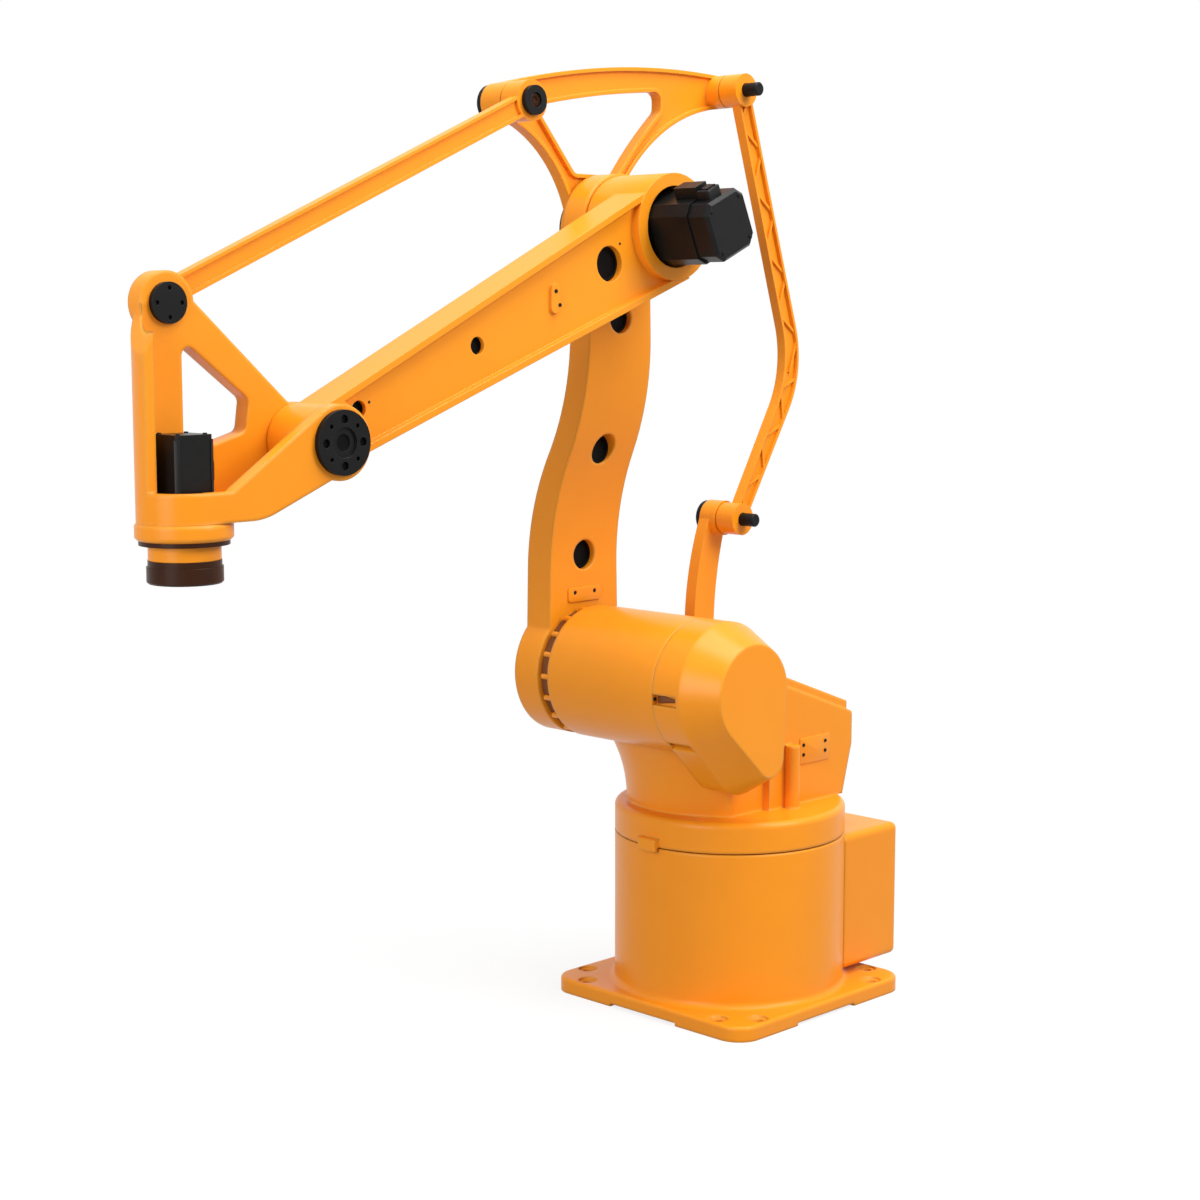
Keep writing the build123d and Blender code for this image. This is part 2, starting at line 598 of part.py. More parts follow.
def forearm_casting():
    beam = slab(beam_outline(0), BEAM_FAR, BEAM_NEAR)
    recess = slab(beam_outline(FLANGE_THICKNESS), BEAM_WEB, BEAM_NEAR)
    beam -= recess - disc(WRIST, WRIST_HUB_RADIUS + FLANGE_THICKNESS, BEAM_WEB, BEAM_NEAR)
    arm = beam + disc(ELBOW, BARREL_RADIUS, BARREL_FAR, BARREL_NEAR)
    arm += disc(WRIST, WRIST_HUB_RADIUS, WRIST_HUB_FAR, WRIST_HUB_NEAR)
    arm -= disc(ELBOW, BARREL_BORE_RADIUS, BARREL_NEAR - BARREL_BORE_DEPTH, BARREL_NEAR)
    arm -= disc(WRIST, WRIST_SHAFT_RADIUS + PIN_CLEARANCE, WRIST_HUB_FAR, WRIST_HUB_NEAR)
    wrist_hole = on_beam(FOREARM_LENGTH - WRIST_HOLE_FROM_WRIST, WRIST_HOLE_ACROSS)
    for point, radius in ((on_beam(LARGE_HOLE_ALONG, 0), LARGE_HOLE_RADIUS),
                          (on_beam(SMALL_HOLE_ALONG, 0), SMALL_HOLE_RADIUS), (wrist_hole, WRIST_HOLE_RADIUS)):
        arm -= disc(point, radius, BEAM_NEAR - BEAM_HOLE_DEPTH, BEAM_NEAR)
    pad_centre = on_beam(PAD_ALONG, 0)
    pad = Pos(pad_centre.X, pad_centre.Y) * SlotOverall(PAD_LENGTH, PAD_WIDTH, rotation=90)
    return arm + slab(pad, BEAM_WEB, BEAM_WEB + PAD_HEIGHT)


def square_on_beam(side):
    shape = chamfer(Rectangle(side, side).vertices(), MOTOR_CHAMFER)
    return Pos(ELBOW.X, ELBOW.Y) * Rot(0, 0, -FOREARM_DROP_ANGLE) * shape


def elbow_motor():
    return slab(square_on_beam(MOTOR_SIDE), BARREL_NEAR - BARREL_BORE_DEPTH, MOTOR_BODY_NEAR)


def elbow_motor_cap():
    cap = slab(square_on_beam(MOTOR_CAP_SIDE), MOTOR_BODY_NEAR, MOTOR_CAP_NEAR)
    return chamfer(cap.faces().sort_by(Axis.Y)[-1].edges(), MOTOR_CAP_CHAMFER)


def elbow_motor_plug():
    block = Rectangle(PLUG_SIDE, PLUG_HEIGHT, align=(Align.CENTER, Align.MIN))
    place = Pos(ELBOW.X, ELBOW.Y) * Rot(0, 0, -FOREARM_DROP_ANGLE) * Pos(0, MOTOR_SIDE / 2)
    return slab(place * block, MOTOR_BODY_NEAR - PLUG_LENGTH, MOTOR_BODY_NEAR)


def triangle_outline():
    front_top = FRONT_PIN + Vector(0, FRONT_BOSS_RADIUS)
    rear_top = REAR_PIN + Vector(0, REAR_BOSS_RADIUS)
    rear_low = REAR_PIN - Vector(0, REAR_BOSS_RADIUS)
    rear_root = ELBOW + polar(TRIANGLE_HUB_RADIUS, REAR_LEG_ROOT_ANGLE)
    front_root = ELBOW + polar(TRIANGLE_HUB_RADIUS, FRONT_LEG_ROOT_ANGLE)
    front_low = FRONT_PIN + polar(FRONT_BOSS_RADIUS, FRONT_LEG_PIN_ANGLE)
    legs = make_face([bowed(front_top, rear_top, -TOP_BAR_CROWN), line(rear_top, rear_low),
                      bowed(rear_low, rear_root, REAR_LEG_BOW), line(rear_root, front_root),
                      bowed(front_root, front_low, FRONT_LEG_BOW), line(front_low, front_top)])
    return legs + round_at(FRONT_PIN, FRONT_BOSS_RADIUS) + round_at(REAR_PIN, REAR_BOSS_RADIUS) \
        + round_at(ELBOW, TRIANGLE_HUB_RADIUS)


def triangle_window():
    front = FRONT_PIN - Vector(WINDOW_FROM_FRONT_PIN, 0)
    rear_top = REAR_PIN + Vector(WINDOW_FROM_REAR_PIN, -WINDOW_BELOW_REAR_PIN)
    rear_low = rear_top - Vector(0, WINDOW_REAR_HEIGHT)
    rear_root = ELBOW + Vector(WINDOW_REAR_ROOT, WINDOW_ABOVE_ELBOW)
    front_root = ELBOW + Vector(WINDOW_FRONT_ROOT, WINDOW_ABOVE_ELBOW)
    window = make_face([bowed(front, rear_top, -WINDOW_TOP_BOW), line(rear_top, rear_low),
                        bowed(rear_low, rear_root, WINDOW_REAR_BOW), line(rear_root, front_root),
                        line(front_root, front)])
    return fillet(window.vertices(), WINDOW_CORNER_RADIUS)


def triangle_casting():
    body = triangle_outline()
    window = triangle_window()
    casting = slab(body - window, TRIANGLE_FAR, TRIANGLE_NEAR)
    pocket = offset(body, -TRIANGLE_LIP) - offset(window, TRIANGLE_LIP) - round_at(ELBOW, TRIANGLE_HUB_RADIUS)
    bosses = ((FRONT_PIN, FRONT_BOSS_RADIUS), (REAR_PIN, REAR_BOSS_RADIUS))
    for point, radius in bosses:
        pocket -= round_at(point, radius)
    casting -= slab(pocket, TRIANGLE_NEAR - TRIANGLE_POCKET, TRIANGLE_NEAR)
    casting -= slab(pocket, TRIANGLE_FAR, TRIANGLE_FAR + TRIANGLE_POCKET)
    for point, radius in bosses:
        casting += disc(point, radius, TRIANGLE_NEAR, TRIANGLE_BOSS_NEAR)
        casting -= disc(point, PIN_RADIUS, TRIANGLE_FAR, TRIANGLE_BOSS_NEAR)
    return casting - disc(ELBOW, ELBOW_SHAFT_RADIUS + PIN_CLEARANCE, TRIANGLE_FAR, TRIANGLE_NEAR)


def left_of(first, second):
    """Unit vector square to the way from one point to the other."""
    way = second - first
    return Vector(-way.Y, way.X).normalized()


def rear_link():
    knee = REAR_PIN - Vector(REAR_LINK_KNEE_BACK, REAR_LINK_KNEE_SHARE * LOWER_ARM_LENGTH)
    upper_left, lower_left = left_of(REAR_PIN, knee), left_of(knee, POST_PIN)
    stations = ((REAR_PIN, upper_left * (REAR_LINK_TOP_WIDTH / 2)),
                (knee, (upper_left + lower_left).normalized() * (REAR_LINK_KNEE_WIDTH / 2)),
                (POST_PIN, lower_left * (REAR_LINK_BOTTOM_WIDTH / 2)))
    ways = [point + half for point, half in stations] + [point - half for point, half in reversed(stations)]
    bar = outline(*ways)
    bends = bar.vertices().sort_by_distance((knee.X, knee.Y))[:2]
    bar = fillet(bends, REAR_LINK_KNEE_RADIUS)
    pocket = offset(bar, -LINK_LIP)
    for point in (REAR_PIN, POST_PIN):
        pocket -= round_at(point, REAR_BOSS_RADIUS)
    floor = REAR_BAR_NEAR - LINK_POCKET
    link = slab(bar, REAR_BAR_FAR, REAR_BAR_NEAR) - slab(pocket, floor, REAR_BAR_NEAR)
    ribs = Sketch() + zigzag(REAR_PIN, knee) + zigzag(knee, POST_PIN)
    link += slab(ribs & pocket, floor, REAR_BAR_NEAR - RIB_BELOW_FACE)
    for point in (REAR_PIN, POST_PIN):
        link += disc(point, REAR_BOSS_RADIUS, LINK_FAR, LINK_NEAR)
        link -= disc(point, PIN_RADIUS + PIN_CLEARANCE, LINK_FAR, LINK_NEAR)
    return link


def zigzag(first, second):
    """Ribs that cross the rear link from side to side on the way from one point to the other."""
    way = second - first
    count = round(way.length / RIB_STEP)
    across = left_of(first, second) * (REAR_LINK_KNEE_WIDTH / 2)
    ends = [first + way * (i / count) + across * (1 if i % 2 else -1) for i in range(count + 1)]
    ribs = []
    for start, end in zip(ends, ends[1:]):
        middle = (start + end) * 0.5
        rise = end - start
        turn = math.degrees(math.atan2(rise.Y, rise.X))
        ribs.append(Pos(middle.X, middle.Y) * Rot(0, 0, turn) * Rectangle(rise.length, RIB_WIDTH))
    return ribs


def front_link():
    near = FRONT_TONGUE_NEAR - SIDE_CLEARANCE
    bar = strap(FRONT_PIN, FRONT_LINK_HEIGHT / 2, WRIST_PIN, FRONT_LINK_HEIGHT / 2)
    pocket = offset(bar, -LINK_LIP) - round_at(FRONT_PIN, FRONT_BOSS_RADIUS) \
        - round_at(WRIST_PIN, WRIST_BOSS_RADIUS)
    link = slab(bar, FRONT_TONGUE_FAR, near)
    link -= slab(pocket, near - FRONT_LINK_POCKET, near)
    link -= slab(pocket, FRONT_TONGUE_FAR, FRONT_TONGUE_FAR + FRONT_LINK_POCKET)
    link += disc(FRONT_PIN, FRONT_BOSS_RADIUS, LINK_FAR, LINK_NEAR)
    link += disc(WRIST_PIN, FRONT_TONGUE_RADIUS, FRONT_TONGUE_FAR, FRONT_TONGUE_NEAR)
    for point in (FRONT_PIN, WRIST_PIN):
        link -= disc(point, PIN_RADIUS + PIN_CLEARANCE, LINK_FAR, FRONT_TONGUE_NEAR)
    return link


def wrist_plan(inset, z_low, z_high):
    """U seen from above: round about the tool axis in front, with straight sides towards the arm."""
    half = WRIST_HALF_WIDTH - inset
    sides = Pos(BAY_BACK, 0) * Rectangle(TOOL_X - BAY_BACK, 2 * half, align=(Align.MIN, Align.CENTER))
    return Pos(0, 0, z_low) * extrude(sides + Pos(TOOL_X, 0) * Circle(half), z_high - z_low)


def wrist_window():
    front = TOOL_X - PLATE_WINDOW_FRONT
    back = TOOL_X - PLATE_WINDOW_BACK
    window = outline(Vector(front, WRIST.Y + PLATE_WINDOW_TOP_RISE), Vector(front, WRIST.Y),
                     Vector(TOOL_X - PLATE_WINDOW_FOOT, WRIST.Y),
                     Vector(TOOL_X - PLATE_WINDOW_LOW_BACK, WRIST.Y + PLATE_WINDOW_LOW_RISE),
                     Vector(back, WRIST.Y + PLATE_WINDOW_REAR_RISE))
    return fillet(window.vertices(), PLATE_WINDOW_CORNER)


def wrist_plate():
    """Upright plate on the link side with a rounded lip down its front edge."""
    half = WRIST_HALF_WIDTH
    top = WRIST_PIN.Y
    front = TOOL_X + half
    edge = left_of(WRIST, WRIST_PIN) * WRIST_PLATE_EDGE
    side = outline(WRIST_PIN + edge, Vector(front, top), Vector(front, BAY_RIM),
                   Vector(TOOL_X - RIM_SLOPE_FROM_TOOL, BAY_RIM), WRIST, WRIST + edge) + wrist_side()
    plate = slab(side - wrist_window(), -half, WRIST_PLATE_NEAR)
    corner = Pos(TOOL_X, -half, BAY_BOTTOM) * Box(
        half, half + FRONT_LIP_NEAR, top - BAY_BOTTOM, align=(Align.MIN, Align.MIN, Align.MIN))
    round_front = tower(TOOL_X, half, BAY_BOTTOM, top)
    lip = (round_front - tower(TOOL_X, half - WRIST_WALL, BAY_BOTTOM, top)) & corner
    plate = plate - (corner - round_front) + lip
    slope_top = WRIST_PIN + Vector(FRONT_LIP_FROM_PIN, -FRONT_LIP_BELOW_PIN)
    slope = outline(slope_top, slope_top + Vector(half, -FRONT_LIP_SLOPE * half / (front - slope_top.X)),
                    slope_top + Vector(half, half), slope_top + Vector(0, half))
    return plate - slab(slope, -half, half)


def wrist_side():
    """Wrist seen from the side, up to the rim of the motor bay."""
    front = TOOL_X + WRIST_HALF_WIDTH
    ear_top = WRIST + polar(WRIST_EAR_RADIUS, EAR_TOP_ANGLE)
    ear_bottom = WRIST + polar(WRIST_EAR_RADIUS, EAR_BOTTOM_ANGLE)
    rim_back = Vector(TOOL_X - RIM_SLOPE_FROM_TOOL, BAY_RIM)
    underside = Vector(TOOL_X - UNDERSIDE_FROM_TOOL, BAY_BOTTOM)
    body = outline(ear_top, rim_back, Vector(front, BAY_RIM), Vector(front, BAY_BOTTOM), underside, ear_bottom)
    bend = body.vertices().sort_by_distance((underside.X, underside.Y))[0]
    return fillet(bend, UNDERSIDE_BEND_RADIUS) + round_at(WRIST, WRIST_EAR_RADIUS)


def wrist_casting():
    half = WRIST_HALF_WIDTH
    cavity = wrist_plan(WRIST_WALL, BAY_FLOOR, BAY_RIM)
    cavity -= Pos(TOOL_X, WRIST_PLATE_NEAR, BAY_FLOOR) * Box(
        4 * half, half, BAY_RIM - BAY_FLOOR, align=(Align.CENTER, Align.MAX, Align.MIN))
    side = wrist_side()
    ear = slab(side, WRIST_EAR_FAR, half) - (Pos(TOOL_X, half, BAY_BOTTOM) * Box(
        half, half, BAY_RIM - BAY_BOTTOM, align=(Align.MIN, Align.MAX, Align.MIN)))
    bay = (wrist_plan(0, BAY_BOTTOM, BAY_RIM) & slab(side, -half, half)) - cavity
    casting = wrist_plate() + ear + bay
    casting += disc(WRIST_PIN, WRIST_BOSS_RADIUS, -half, WRIST_PLATE_NEAR)
    casting += disc(WRIST, WRIST_EAR_RADIUS, -half, WRIST_PLATE_NEAR)
    collar = tower(TOOL_X, COLLAR_RADIUS, COLLAR_BOTTOM, BAY_BOTTOM)
    casting += chamfer(collar.edges(), COLLAR_CHAMFER)
    casting -= disc(WRIST, WRIST_SHAFT_RADIUS, -half, half)
    return casting - disc(WRIST_PIN, PIN_RADIUS, -half, WRIST_PLATE_NEAR)


def wrist_shaft():
    return disc(WRIST, WRIST_SHAFT_RADIUS, -WRIST_HALF_WIDTH, WRIST_HALF_WIDTH)


def cap_holes(point, circle_radius, radius, y_near, depth, first_angle):
    """Blind holes on a circle round a pivot."""
    places = [point + polar(circle_radius, first_angle + 360 / CAP_HOLES * i) for i in range(CAP_HOLES)]
    return [disc(place, radius, y_near - depth, y_near) for place in places]


def wrist_pivot_cap():
    near = WRIST_HALF_WIDTH + WRIST_CAP_THICKNESS
    cap = disc(WRIST, WRIST_CAP_RADIUS, WRIST_HALF_WIDTH, near)
    cap -= disc(WRIST, WRIST_CAP_STEP_RADIUS, near - WRIST_CAP_STEP_DEPTH, near)
    cap -= disc(WRIST, WRIST_CAP_BORE_RADIUS, near - WRIST_CAP_BORE_DEPTH, near)
    cap -= cap_holes(WRIST, WRIST_CAP_CIRCLE_RADIUS, WRIST_CAP_HOLE_RADIUS, near, CAP_HOLE_DEPTH, 0)
    return cap - cap_holes(WRIST, WRIST_CAP_CIRCLE_RADIUS, CAP_HOLE_RADIUS, near, CAP_HOLE_DEPTH, 45)


def wrist_link_pin():
    near = WRIST_PLATE_NEAR + LINK_CAP_THICKNESS
    pin = disc(WRIST_PIN, PIN_RADIUS, FRONT_TONGUE_FAR, WRIST_PLATE_NEAR)
    pin += disc(WRIST_PIN, LINK_CAP_RADIUS, WRIST_PLATE_NEAR, near)
    return pin - cap_holes(WRIST_PIN, LINK_CAP_CIRCLE_RADIUS, CAP_HOLE_RADIUS, near, CAP_HOLE_DEPTH, 0)


def wrist_motor():
    shape = chamfer(Rectangle(WRIST_MOTOR_SIDE, WRIST_MOTOR_SIDE).vertices(), WRIST_MOTOR_CHAMFER)
    return Pos(TOOL_X, 0, BAY_FLOOR) * extrude(shape, WRIST.Y + WRIST_MOTOR_TOP - BAY_FLOOR)


def wrist_seal():
    return tower(TOOL_X, SEAL_RADIUS, COLLAR_BOTTOM - SEAL_HEIGHT, COLLAR_BOTTOM)


def flange_neck():
    return tower(TOOL_X, NECK_FLANGE_RADIUS, TOOL_Z + TOOL_FLANGE_HEIGHT,
                 COLLAR_BOTTOM - SEAL_HEIGHT - FACE_CLEARANCE)


def tool_flange():
    top = TOOL_Z + TOOL_FLANGE_HEIGHT
    rim = tower(TOOL_X, TOOL_FLANGE_RADIUS, TOOL_Z, top - TOOL_SHOULDER_HEIGHT)
    flange = chamfer(rim.edges().sort_by(Axis.Z)[0], TOOL_CHAMFER)
    flange += tower(TOOL_X, TOOL_SHOULDER_RADIUS, top - TOOL_SHOULDER_HEIGHT, top)
    hole = extrude(Circle(TOOL_HOLE_RADIUS), TOOL_HOLE_DEPTH)
    flange -= [Pos(TOOL_X, 0, TOOL_Z) * place * hole
               for place in PolarLocations(TOOL_BOLT_CIRCLE_DIAMETER / 2, TOOL_HOLES)]
    return flange - tower(TOOL_X, TOOL_PILOT_RADIUS, TOOL_Z, TOOL_Z + TOOL_PILOT_DEPTH)


PARTS = (base_casting, slew_bearing, connector_box, turret_casting, shoulder_motor_cover, link_post, post_pin,
         shoulder_reducer, lower_arm_casting, elbow_reducer, elbow_shaft, triangle_casting, front_triangle_pin,
         rear_triangle_pin, rear_link, front_link, forearm_casting, elbow_motor, elbow_motor_cap,
         elbow_motor_plug, wrist_casting, wrist_shaft, wrist_pivot_cap, wrist_link_pin, wrist_motor, wrist_seal,
         flange_neck, tool_flange)

os.makedirs("parts", exist_ok=True)
for make in PARTS:
    export_step(make(), f"parts/{make.__name__}.step")
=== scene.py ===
# %% [markdown]
# # A palletizing robot arm, dressed for a studio picture
# The solids of the arm come ready from the frame, in metres, each one riding on the body that moves it.
# This lesson gives them their finishes, then adds what a maker bolts on last: screws, plugs, plates
# and strips. Blender's own tools do the modelling, one piece at a time.

# %% Load the frame
import json
import math
import bpy
from mathutils import Matrix, Vector

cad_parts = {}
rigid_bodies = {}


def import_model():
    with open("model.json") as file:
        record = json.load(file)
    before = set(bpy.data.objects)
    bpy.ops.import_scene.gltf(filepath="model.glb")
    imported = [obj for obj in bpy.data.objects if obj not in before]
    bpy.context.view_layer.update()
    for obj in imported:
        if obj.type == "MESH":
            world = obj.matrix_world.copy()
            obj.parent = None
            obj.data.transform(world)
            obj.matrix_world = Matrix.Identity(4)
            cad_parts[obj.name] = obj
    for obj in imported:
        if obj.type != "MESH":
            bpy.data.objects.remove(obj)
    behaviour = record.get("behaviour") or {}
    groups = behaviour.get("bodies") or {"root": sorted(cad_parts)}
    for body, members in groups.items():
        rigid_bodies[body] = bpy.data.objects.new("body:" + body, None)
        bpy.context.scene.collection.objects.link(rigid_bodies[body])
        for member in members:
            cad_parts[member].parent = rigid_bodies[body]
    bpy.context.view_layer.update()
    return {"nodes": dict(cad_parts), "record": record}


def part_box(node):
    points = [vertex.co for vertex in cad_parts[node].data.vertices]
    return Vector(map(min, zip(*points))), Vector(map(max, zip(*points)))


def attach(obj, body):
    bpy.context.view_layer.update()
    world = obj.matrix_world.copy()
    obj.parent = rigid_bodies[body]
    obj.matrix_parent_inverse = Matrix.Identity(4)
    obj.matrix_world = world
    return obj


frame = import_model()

MM = 0.001
nodes = frame["nodes"]

# %% [markdown]
# ## Pivots
# Every joint of the record has a place. Many small pieces of this lesson are set from those places, so that
# they stay where the linkage needs them.

# %% Read the pivots
pivot = {j["name"]: Vector(j["pos_m"]) for j in frame["record"]["behaviour"]["joints"]}
SHOULDER = pivot["shoulder_lean"]
ELBOW = pivot["forearm_pitch"]
WRIST = pivot["wrist_level"]
POST_PIN = pivot["rear_link_swing"]
FRONT_PIN = pivot["front_link_swing"]
REAR_PIN = POST_PIN + ELBOW - SHOULDER
WRIST_PIN = WRIST + FRONT_PIN - ELBOW
for name, place in pivot.items():
    print(name, [round(c, 4) for c in place])

# %% [markdown]
# ## Camera
# The picture was taken from the front on the motor side, a little above the wrist. A camera is placed by its
# stand point and two angles: how far it turns round the upright axis and how far it looks down.

# %% Place the camera
STAND_POINT = Vector((2.21386, 1.93614, 0.91833))
TURN = math.radians(45.39)
LOOK_DOWN = math.radians(7.38)
SENSOR_MM = 36.0
FOCAL_PIXELS = 2202.71
PICTURE_PIXELS = 1200.0

bpy.ops.object.select_all(action="DESELECT")
bpy.ops.object.camera_add(location=STAND_POINT)
camera = bpy.context.object
camera.name = "studio_camera"
level = math.cos(LOOK_DOWN)
sight = Vector((-math.sin(TURN) * level, -math.cos(TURN) * level, -math.sin(LOOK_DOWN)))
camera.rotation_euler = sight.to_track_quat("-Z", "Y").to_euler()
camera.data.sensor_width = SENSOR_MM
camera.data.lens = SENSOR_MM * FOCAL_PIXELS / PICTURE_PIXELS
bpy.context.scene.camera = camera
bpy.context.scene.view_settings.view_transform = "Standard"
print("lens", round(camera.data.lens, 2), "mm")

# %% [markdown]
# ## Studio
# A white sweep behind a machine is easiest as a large pale floor and a white world. A Light Path mask makes
# both white where they are seen, by the camera or in a reflection, and dimmer as light on the arm. The glow
# of the floor is weaker near the foot, where the plain paper under it keeps a soft shadow.

# %% Make the world and the floor
WHITE = (1.0, 1.0, 1.0, 1.0)
WORLD_TO_EYE, WORLD_TO_ARM = 1.0, 0.45
FLOOR_SIZE = 40.0
GLOW_NEAR, GLOW_FAR = 0.82, 1.0
GLOW_START, GLOW_END = 0.22, 1.2
PAPER_TO_EYE, PAPER_TO_ARM = 0.92, 0.32
# Places of the colour sockets on a Mix node, which has sockets of one name for every kind of value.
COLOUR_A, COLOUR_B, COLOUR_OUT = 6, 7, 2


def grey(tone):
    return (tone, tone, tone, 1.0)


def math_node(tree, operation, first, second):
    """Math node on two sockets or numbers."""
    node = tree.nodes.new("ShaderNodeMath")
    node.operation = operation
    for socket, value in zip(node.inputs, (first, second)):
        if isinstance(value, (int, float)):
            socket.default_value = value
        else:
            tree.links.new(value, socket)
    return node.outputs[0]


def seen_by_eye(tree):
    """Light Path mask that is 1 for the camera, for mirrors and through glass."""
    path = tree.nodes.new("ShaderNodeLightPath").outputs
    direct = math_node(tree, "MAXIMUM", path["Is Camera Ray"], path["Is Glossy Ray"])
    return math_node(tree, "MAXIMUM", direct, path["Is Transmission Ray"])


world = bpy.data.worlds.new("white_room")
bpy.context.scene.world = world
world.use_nodes = True
tree = world.node_tree
tree.nodes.clear()
strength = tree.nodes.new("ShaderNodeMix")
strength.inputs["A"].default_value = WORLD_TO_ARM
strength.inputs["B"].default_value = WORLD_TO_EYE
tree.links.new(seen_by_eye(tree), strength.inputs["Factor"])
background = tree.nodes.new("ShaderNodeBackground")
background.inputs["Color"].default_value = WHITE
tree.links.new(strength.outputs[0], background.inputs["Strength"])
sky = tree.nodes.new("ShaderNodeOutputWorld")
tree.links.new(background.outputs[0], sky.inputs["Surface"])

bpy.ops.object.select_all(action="DESELECT")
bpy.ops.mesh.primitive_plane_add(size=FLOOR_SIZE, location=(0, 0, 0))
floor = bpy.context.object
floor.name = "paper_floor"
paper = bpy.data.materials.new("white_paper")
paper.use_nodes = True
tree = paper.node_tree
tree.nodes.clear()
eye = seen_by_eye(tree)
matte = tree.nodes.new("ShaderNodeBsdfDiffuse")
paper_tone = tree.nodes.new("ShaderNodeMix")
paper_tone.data_type = "RGBA"
paper_tone.inputs[COLOUR_A].default_value = grey(PAPER_TO_ARM)
paper_tone.inputs[COLOUR_B].default_value = grey(PAPER_TO_EYE)
tree.links.new(eye, paper_tone.inputs["Factor"])
tree.links.new(paper_tone.outputs[COLOUR_OUT], matte.inputs["Color"])
glow = tree.nodes.new("ShaderNodeEmission")
spot = tree.nodes.new("ShaderNodeTexCoord")
far_off = tree.nodes.new("ShaderNodeVectorMath")
far_off.operation = "LENGTH"
tree.links.new(spot.outputs["Object"], far_off.inputs[0])
fade = tree.nodes.new("ShaderNodeMapRange")
fade_range = {"From Min": GLOW_START, "From Max": GLOW_END, "To Min": GLOW_NEAR, "To Max": GLOW_FAR}
for label, value in fade_range.items():
    fade.inputs[label].default_value = value
tree.links.new(far_off.outputs["Value"], fade.inputs["Value"])
blend = tree.nodes.new("ShaderNodeMixShader")
tree.links.new(math_node(tree, "MULTIPLY", eye, fade.outputs["Result"]), blend.inputs[0])
tree.links.new(matte.outputs[0], blend.inputs[1])
tree.links.new(glow.outputs[0], blend.inputs[2])
surface_out = tree.nodes.new("ShaderNodeOutputMaterial")
tree.links.new(blend.outputs[0], surface_out.inputs["Surface"])
floor.data.materials.append(paper)
print("floor", FLOOR_SIZE, "m wide")

# %% [markdown]
# ## Lamps
# Three large soft boxes: one overhead, which makes the top faces pale, one high on the motor side for the
# near faces, and a weaker one in front of the wrist for the faces that look forward.

# %% Hang the lamps
def soft_box(name, place, target, width, watts):
    bpy.ops.object.select_all(action="DESELECT")
    bpy.ops.object.light_add(type="AREA", location=place)
    lamp = bpy.context.object
    lamp.name = name
    lamp.data.shape = "SQUARE"
    lamp.data.size = width
    lamp.data.energy = watts
    lamp.rotation_euler = (Vector(target) - Vector(place)).to_track_quat("-Z", "Y").to_euler()


soft_box("top_box", place=(0.1, 0.5, 3.3), target=(0.2, 0.0, 0.6), width=2.0, watts=88.0)
soft_box("side_box", place=(-0.6, 2.7, 2.6), target=(0.1, 0.0, 0.6), width=1.6, watts=78.0)
soft_box("front_box", place=(3.4, 0.6, 1.3), target=(0.4, 0.0, 0.7), width=1.6, watts=52.0)

# %% [markdown]
# ## Finishes that several materials share
# Paint on a casting is never quite flat. A coarse noise follows the sand mould under the paint, a fine one
# is the orange peel of the spray gun. Both live in one shader group with named inputs, because the steel
# and the motor lacquer use it too with other values. A second group paints a highlight on edges: it compares
# the true normal with one that is rounded off over a short way, and where they part it gives a mask for a
# paler colour, which is a painted highlight.

# %% Build the shared groups
NUMBER = "NodeSocketFloat"
COARSE_DETAIL, FINE_DETAIL, BROAD_DETAIL = 4.0, 2.0, 2.0
BROAD_SCALE = 2.3
BROAD_SHARE, COARSE_SHARE = 0.7, 0.3
NOISE_MIDDLE = 0.5
EDGE_HIGHLIGHT_GAIN = 3.0


def new_group(name, inputs, outputs):
    group = bpy.data.node_groups.new(name, "ShaderNodeTree")
    for label, kind, value in inputs:
        socket = group.interface.new_socket(name=label, in_out="INPUT", socket_type=kind)
        socket.default_value = value
    for label in outputs:
        group.interface.new_socket(name=label, in_out="OUTPUT", socket_type=NUMBER)
    return group, group.nodes.new("NodeGroupInput"), group.nodes.new("NodeGroupOutput")


def noise_node(tree, coordinates, scale, detail):
    """Noise over given coordinates, with a scale that is a number or a socket."""
    node = tree.nodes.new("ShaderNodeTexNoise")
    tree.links.new(coordinates, node.inputs["Vector"])
    if isinstance(scale, (int, float)):
        node.inputs["Scale"].default_value = scale
    else:
        tree.links.new(scale, node.inputs["Scale"])
    node.inputs["Detail"].default_value = detail
    return node.outputs["Fac"]


def make_coat_group():
    group, given, result = new_group("sprayed_coat", (
        ("Coarse Scale", NUMBER, 30.0), ("Fine Scale", NUMBER, 900.0), ("Coarse Height", NUMBER, 0.3),
        ("Fine Height", NUMBER, 0.1), ("Roughness", NUMBER, 0.4), ("Roughness Spread", NUMBER, 0.1)),
        ("Height", "Roughness", "Tone"))
    place = group.nodes.new("ShaderNodeTexCoord").outputs["Object"]
    coarse = noise_node(group, place, given.outputs["Coarse Scale"], COARSE_DETAIL)
    fine = noise_node(group, place, given.outputs["Fine Scale"], FINE_DETAIL)
    broad = noise_node(group, place, BROAD_SCALE, BROAD_DETAIL)
    coarse_part = math_node(group, "MULTIPLY", coarse, given.outputs["Coarse Height"])
    fine_part = math_node(group, "MULTIPLY", fine, given.outputs["Fine Height"])
    group.links.new(math_node(group, "ADD", coarse_part, fine_part), result.inputs["Height"])
    off_middle = math_node(group, "SUBTRACT", coarse, NOISE_MIDDLE)
    swing = math_node(group, "MULTIPLY", off_middle, given.outputs["Roughness Spread"])
    group.links.new(math_node(group, "ADD", given.outputs["Roughness"], swing), result.inputs["Roughness"])
    broad_part = math_node(group, "MULTIPLY", broad, BROAD_SHARE)
    blotches = math_node(group, "MULTIPLY", coarse, COARSE_SHARE)
    group.links.new(math_node(group, "ADD", broad_part, blotches), result.inputs["Tone"])
    return group
